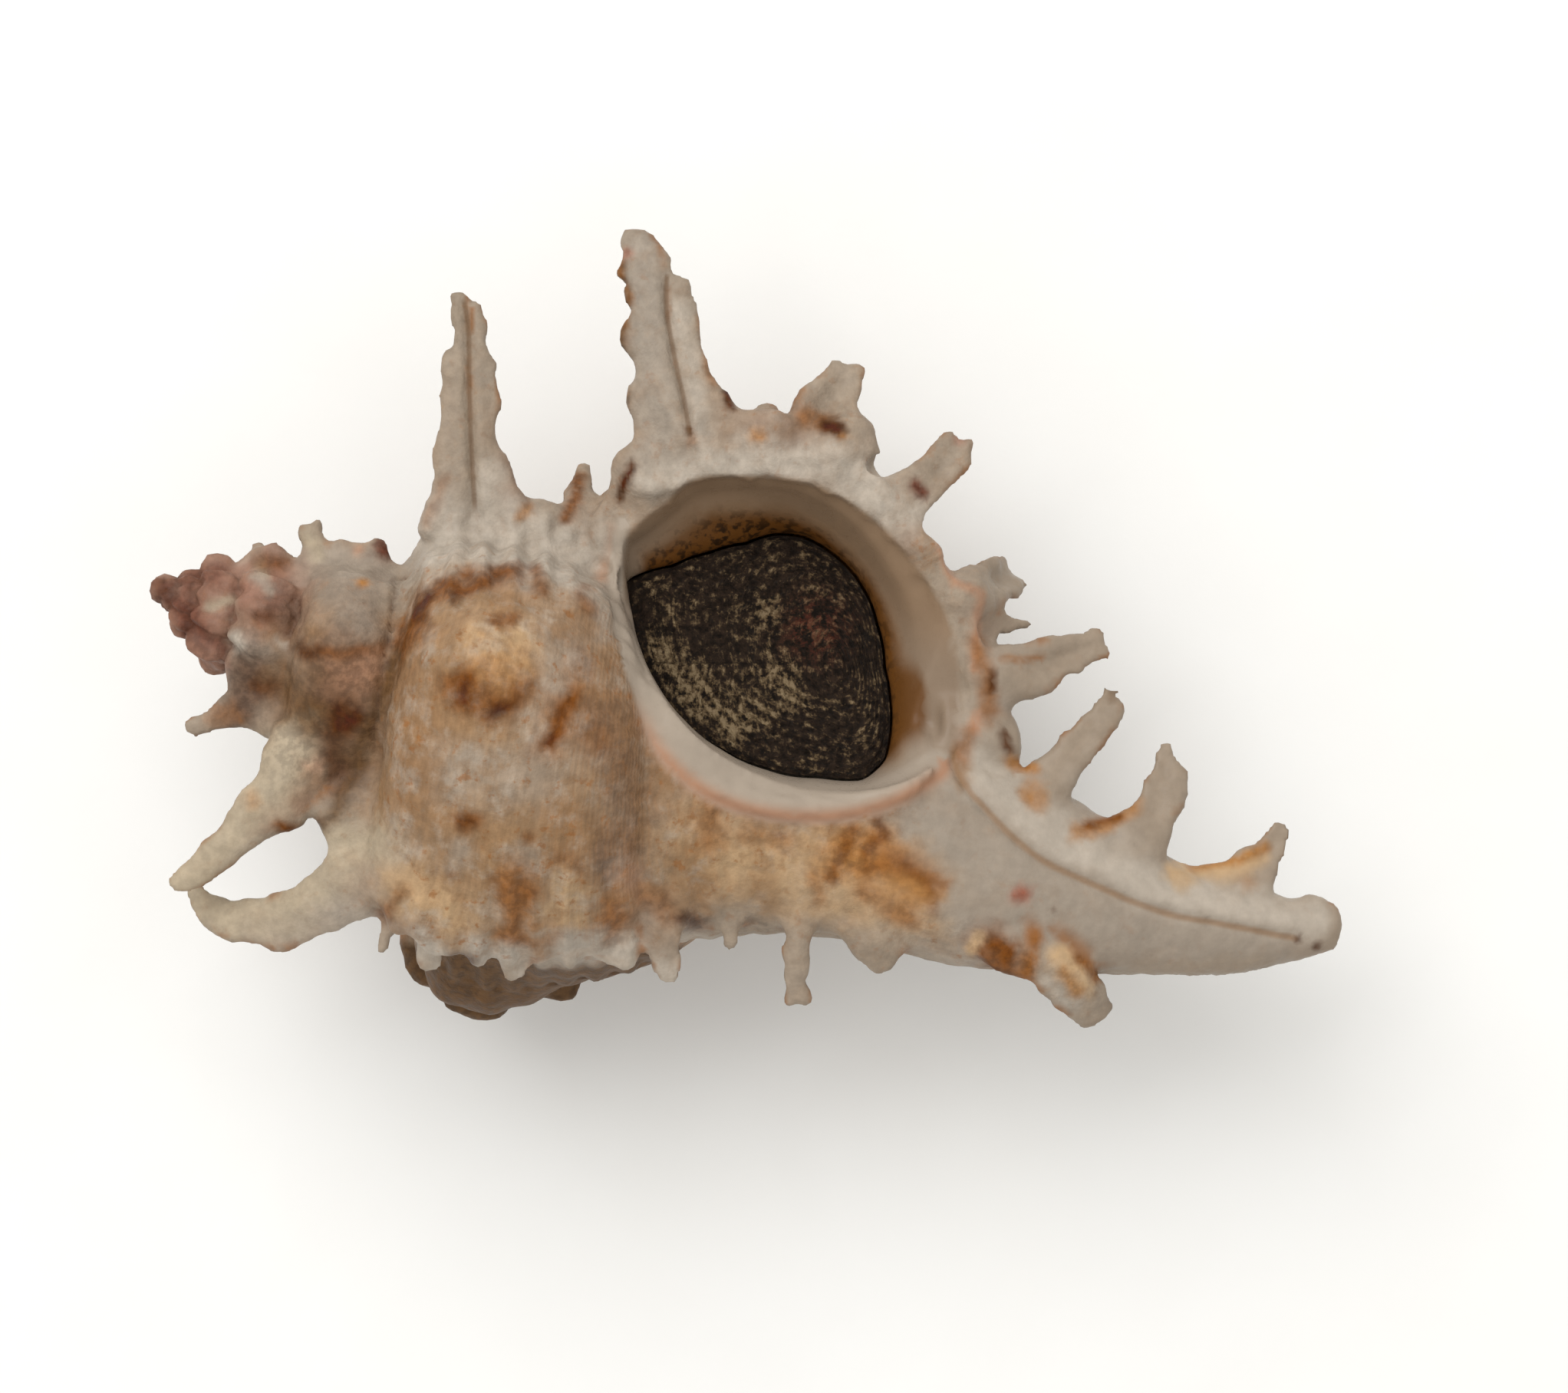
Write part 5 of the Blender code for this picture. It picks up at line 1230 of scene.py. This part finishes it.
def operculum_rings(points):
    """Share of the way from the nucleus to the edge, and the distance swept round the nucleus."""
    line = smooth_through(OPERCULUM_EDGE + OPERCULUM_EDGE[:1], LINE_STEPS)[:-1]
    edge = place(line[:, 0] + OPENING_MIDDLE[0], line[:, 1] + OPENING_MIDDLE[1], 0.0)
    x, y = (edge[:, :2] - NUCLEUS).T
    turn = np.arctan2(y, x)
    order = np.argsort(turn)
    offset = points[:, :2] - NUCLEUS
    own = np.arctan2(offset[:, 1], offset[:, 0])
    reach = np.interp(own, turn[order], np.hypot(x, y)[order], period=2 * math.pi)
    distance = np.hypot(offset[:, 0], offset[:, 1])
    return distance / reach, own * distance


def lid_ring(turn, share, drop):
    """A ring of points at a share of the way to the lid's edge, so far below its domed top."""
    rise = OPERCULUM_RISE + OPERCULUM_DOME * (1.0 - share**2) - drop
    return opening_ring(turn, reach_of(OPERCULUM_EDGE, turn) * share, rise, OPERCULUM_SLOPE)


def lid_wave(points):
    """How many ridges lie between the nucleus and each point."""
    return operculum_rings(points)[0] * LID_RIDGES + 0.7 * rough(points, 3.0, 3)


def operculum_piece():
    """The lid: ridges in rings round its nucleus, above the flat underside."""
    turn = circle(1.2)
    shares = np.concatenate([np.linspace(0.01, 0.9, 110), np.linspace(0.91, 1.0, 14)])
    drops = 0.6 * ramp(shares, 0.9, 1.0) ** 2
    top = np.concatenate([lid_ring(turn, share, drop) for share, drop in zip(shares, drops)])
    ridge = 1.0 - np.abs((lid_wave(top) % 1.0) * 2.0 - 1.0)
    crust = 0.5 * (ridge - 0.5) * (0.5 + 0.5 * rough(top, 2.5, 8))
    crust = crust + 0.35 * rough(top, 2.2, 5) + 0.16 * rough(top, 0.8, 6)
    top[:, 2] += np.repeat(ramp(1.0 - shares, 0.0, 0.08), len(turn)) * crust
    rings = list(top.reshape(len(shares), len(turn), 3))
    rings += [lid_ring(turn, share, drop) for share, drop in LID_UNDERSIDE]
    lid = as_object("operculum_lid", loft(rings))
    mesh = lid.data
    points, _ = read_points(mesh)
    ring, sweep = operculum_rings(points)
    gold = bump(apart_from(points[:, :2], GOLD_LINE), 1.9) + 0.8 * spot(points, 3.4, -4.4, 2.4)
    gold = gold + 0.6 * spot(points, 1.4, 2.0, 1.8) + 0.35 * rough(points, 2.6, 41)
    write_fields(mesh, {
        "ring": ring, "sweep": sweep, "wave": lid_wave(points), "gold": np.clip(gold, 0.0, 1.0),
        "red": spot(points, 5.6, 0.4, 2.4),
    })
    write_points(mesh, points * MM)
    mesh.shade_smooth()
    mesh.materials.append(operculum_material())
    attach(lid, "root")
    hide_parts("operculum")


def shell_piece():
    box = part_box("shell")
    shell = raw_shell()
    points, normals = read_points(shell.data)
    write_points(shell.data, kept_in(carve(points, normals), box))
    thinned(shell, SHELL_TRIANGLES)
    mesh = shell.data
    points, normals = read_points(mesh)
    write_fields(mesh, paint(points, normals))
    write_points(mesh, points * MM)
    mesh.shade_smooth()
    mesh.materials.clear()
    mesh.materials.append(shell_material())
    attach(shell, "root")
    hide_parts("shell")


# Materials

class Value:
    """A number or colour inside a node material, with sums done by nodes."""

    def __init__(self, graph, socket):
        self.graph = graph
        self.socket = socket

    def __add__(self, other):
        return self.graph.math("ADD", self, other)

    def __sub__(self, other):
        return self.graph.math("SUBTRACT", self, other)

    def __rsub__(self, other):
        return self.graph.math("SUBTRACT", other, self)

    def __mul__(self, other):
        return self.graph.math("MULTIPLY", self, other)

    def __abs__(self):
        return self.graph.math("ABSOLUTE", self)

    def wave(self):
        """A sine that repeats at every whole number."""
        return self.graph.math("SINE", self * (2 * math.pi))

    def spread(self, low, high, start=0.0, end=1.0):
        """The range low to high, smoothly made start to end."""
        made = self.graph.node("ShaderNodeMapRange", interpolation_type="SMOOTHSTEP")
        return self.graph.fed(made, (self, low, high, start, end))


class Graph:
    """A node material under construction."""

    def __init__(self, name):
        self.material = bpy.data.materials.new(name)
        self.material.use_nodes = True
        self.tree = self.material.node_tree
        self.tree.nodes.clear()
        self.place = Value(self, self.node("ShaderNodeTexCoord").outputs["Object"])

    def node(self, kind, **settings):
        made = self.tree.nodes.new(kind)
        for name, value in settings.items():
            setattr(made, name, value)
        return made

    def put(self, socket, value):
        if isinstance(value, Value):
            self.tree.links.new(value.socket, socket)
        elif socket.type == "RGBA":
            socket.default_value = (*value, 1.0)
        else:
            socket.default_value = value

    def fed(self, made, values, output=0):
        """Puts values into a node's inputs, in their order or by name, and gives its output."""
        for key, value in values.items() if isinstance(values, dict) else enumerate(values):
            self.put(made.inputs[key], value)
        return Value(self, made.outputs[output])

    def number(self, name):
        return Value(self, self.node("ShaderNodeAttribute", attribute_name=name).outputs["Fac"])

    def colour(self, name):
        return Value(self, self.node("ShaderNodeAttribute", attribute_name=name).outputs["Color"])

    def math(self, operation, *values):
        return self.fed(self.node("ShaderNodeMath", operation=operation), values)

    def vector(self, x, y):
        return self.fed(self.node("ShaderNodeCombineXYZ"), (x, y))

    def noise(self, scale, detail=3.0, vector=None, roughness=0.55, shift=0.0):
        made = self.node("ShaderNodeTexNoise", noise_dimensions="4D")
        values = {"Vector": vector or self.place, "W": shift, "Scale": scale, "Detail": detail}
        return self.fed(made, {**values, "Roughness": roughness}, "Fac")

    def mix(self, share, under, over, blend="MIX"):
        made = self.node("ShaderNodeMix", data_type="RGBA", blend_type=blend)
        return self.fed(made, {0: share, 6: under, 7: over}, 2)

    def grey(self, value):
        return self.fed(self.node("ShaderNodeCombineColor"), (value, value, value))

    def bump(self, height, distance, strength=1.0):
        values = {"Strength": strength, "Distance": distance, "Height": height}
        return self.fed(self.node("ShaderNodeBump"), values)

    def finish(self, colour, roughness, normal, specular):
        shader = self.node("ShaderNodeBsdfPrincipled")
        shader.inputs["Specular IOR Level"].default_value = specular
        surface = self.fed(shader, {"Base Color": colour, "Roughness": roughness, "Normal": normal})
        self.put(self.node("ShaderNodeOutputMaterial").inputs["Surface"], surface)
        return self.material


def shell_material():
    graph = Graph("murex_shell")
    clouds, grain, fine = graph.noise(330.0, 5.0), graph.noise(1300.0, 3.0), graph.noise(4200.0, 2.0)
    marks, threads, mottle = (graph.number(name) for name in ("marks", "threads", "mottle"))
    matt = 1.0 - graph.number("gloss")
    thread_place, line_place = graph.number("thread"), graph.number("lines")
    streak = graph.noise(1.0, 4.0, graph.vector(thread_place * 0.9, line_place * 0.55), 0.65)
    thread, lines = thread_place.wave(), line_place.wave()
    colour = graph.colour("tint")
    free = mottle * (1.0 - marks)
    for scale, detail, roughness, shift, low, high, share, tint in MOTTLES:
        patch = graph.noise(scale, detail, None, roughness, shift).spread(low, high, 0.0, share)
        colour = graph.mix(patch * free, colour, toned(tint))
    stripe = thread.spread(-0.1, -0.9) * threads * streak.spread(0.35, 0.6, 0.05, 0.3)
    colour = graph.mix(stripe, colour, toned(RUSTY))
    shade = clouds.spread(0.3, 0.7, 0.90, 1.08)
    shade = shade * (streak.spread(0.3, 0.7, -0.12, 0.10) * mottle + 1.0)
    shade = shade * grain.spread(0.3, 0.7, 0.90, 1.08)
    shade = shade * (1.0 - grain.spread(0.6, 0.4) * marks * 0.25)
    shade = (shade - 1.0) * (matt * 0.85 + 0.15) + 1.0
    colour = graph.mix(1.0, colour, graph.grey(shade), "MULTIPLY")
    # The seams and the slit are darkened: partly their own brown, partly painted shade in their grooves.
    seam = abs(graph.number("seam")).spread(0.32, 0.06) * graph.number("seam_on")
    colour = graph.mix(seam * 0.6, colour, toned(UMBER))
    slit = abs(clouds * 0.3 + graph.number("slit") - 0.15).spread(0.45, 0.05) * graph.number("slit_on")
    colour = graph.mix(slit * 0.6, colour, toned(FAWN))
    colour = graph.mix(graph.number("specks") * grain.spread(0.46, 0.6, 0.0, 0.85), colour, LID_DARK)
    height = (thread + lines) * threads * 0.12 + streak * mottle * 0.2 + (grain * 0.7 + fine * 0.3) * matt
    roughness = matt * 0.2 + grain.spread(0.3, 0.7, 0.24, 0.36)
    return graph.finish(colour, roughness, graph.bump(height, SHELL_BUMP), SHELL_SPECULAR)


def operculum_material():
    graph = Graph("operculum")
    rings = graph.vector(graph.number("ring") * 16.0, graph.number("sweep") * 0.9)
    fleck = graph.noise(1.0, 5.0, rings, 0.7)
    grain, dust = graph.noise(1500.0, 5.0, None, 0.75), graph.noise(3200.0, 2.0)
    gold, ridges = graph.number("gold"), graph.number("wave").wave()
    amount = fleck + grain * 1.6 + graph.noise(420.0, 4.0) * 0.6 + gold * 0.26 + ridges * 0.06 - 1.68
    colour = graph.mix(grain.spread(0.36, 0.6), LID_DARK, LID_BROWN)
    colour = graph.mix(amount.spread(-0.02, 0.2, 0.0, 0.6), colour, LID_GOLD)
    colour = graph.mix(amount.spread(0.16, 0.3, 0.0, 0.7), colour, LID_PALE)
    colour = graph.mix(dust.spread(0.62, 0.75) * 0.4, colour, LID_GOLD)
    colour = graph.mix(graph.number("red") * grain.spread(0.45, 0.6, 0.0, 0.7), colour, LID_RED)
    normal = graph.bump(fleck + grain * 1.2, LID_BUMP)
    return graph.finish(colour, grain.spread(0.3, 0.7, 0.4, 0.65), normal, LID_SPECULAR)


def floor_material():
    graph = Graph("pale_floor")
    grain = graph.noise(60.0, 3.0)
    colour = graph.mix(grain, FLOOR_PALE, FLOOR_WARM)
    normal = graph.bump(graph.noise(900.0, 2.0), FLOOR_BUMP, strength=0.2)
    return graph.finish(colour, grain.spread(0.3, 0.7, 0.75, 0.85), normal, 0.2)


# The studio

def studio():
    plane = bmesh.new()
    bmesh.ops.create_grid(plane, x_segments=1, y_segments=1, size=FLOOR_HALF)
    floor = as_object("floor", plane)
    floor.data.materials.append(floor_material())
    world = bpy.data.worlds.new("soft_white")
    world.use_nodes = True
    sky = world.node_tree.nodes["Background"]
    sky.inputs["Color"].default_value = (1.0, 0.99, 0.97, 1.0)
    sky.inputs["Strength"].default_value = SKY_STRENGTH
    bpy.context.scene.world = world
    lamp = bpy.data.lights.new("window", "AREA")
    lamp.shape = "RECTANGLE"
    lamp.size = LAMP_WIDTH
    lamp.size_y = LAMP_WIDTH
    lamp.energy = LAMP_POWER
    holder = bpy.data.objects.new("window", lamp)
    holder.location = LAMP_PLACE
    holder.rotation_euler = (Vector(VIEW_MIDDLE) - Vector(LAMP_PLACE)).to_track_quat("-Z", "Y").to_euler()
    bpy.context.scene.collection.objects.link(holder)
    bpy.context.scene.view_settings.view_transform = "Standard"


def camera():
    """Straight above the shell, with the photograph's frame."""
    lens = bpy.data.cameras.new("camera")
    lens.sensor_fit = "HORIZONTAL"
    lens.sensor_width = SENSOR_WIDTH
    lens.lens = SENSOR_WIDTH * CAMERA_DISTANCE / VIEW_WIDTH
    lens.clip_start = 0.01
    holder = bpy.data.objects.new("camera", lens)
    holder.location = Vector(VIEW_MIDDLE) + Vector((0.0, 0.0, CAMERA_DISTANCE))
    bpy.context.scene.collection.objects.link(holder)
    bpy.context.scene.camera = holder


def main():
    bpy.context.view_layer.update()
    shell_piece()
    operculum_piece()
    studio()
    camera()


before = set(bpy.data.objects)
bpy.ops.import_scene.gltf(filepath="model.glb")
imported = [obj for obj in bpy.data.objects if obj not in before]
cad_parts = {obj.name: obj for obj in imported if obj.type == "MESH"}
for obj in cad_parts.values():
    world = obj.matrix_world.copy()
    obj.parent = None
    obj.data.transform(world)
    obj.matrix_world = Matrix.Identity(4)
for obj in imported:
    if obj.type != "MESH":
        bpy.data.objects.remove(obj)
main()
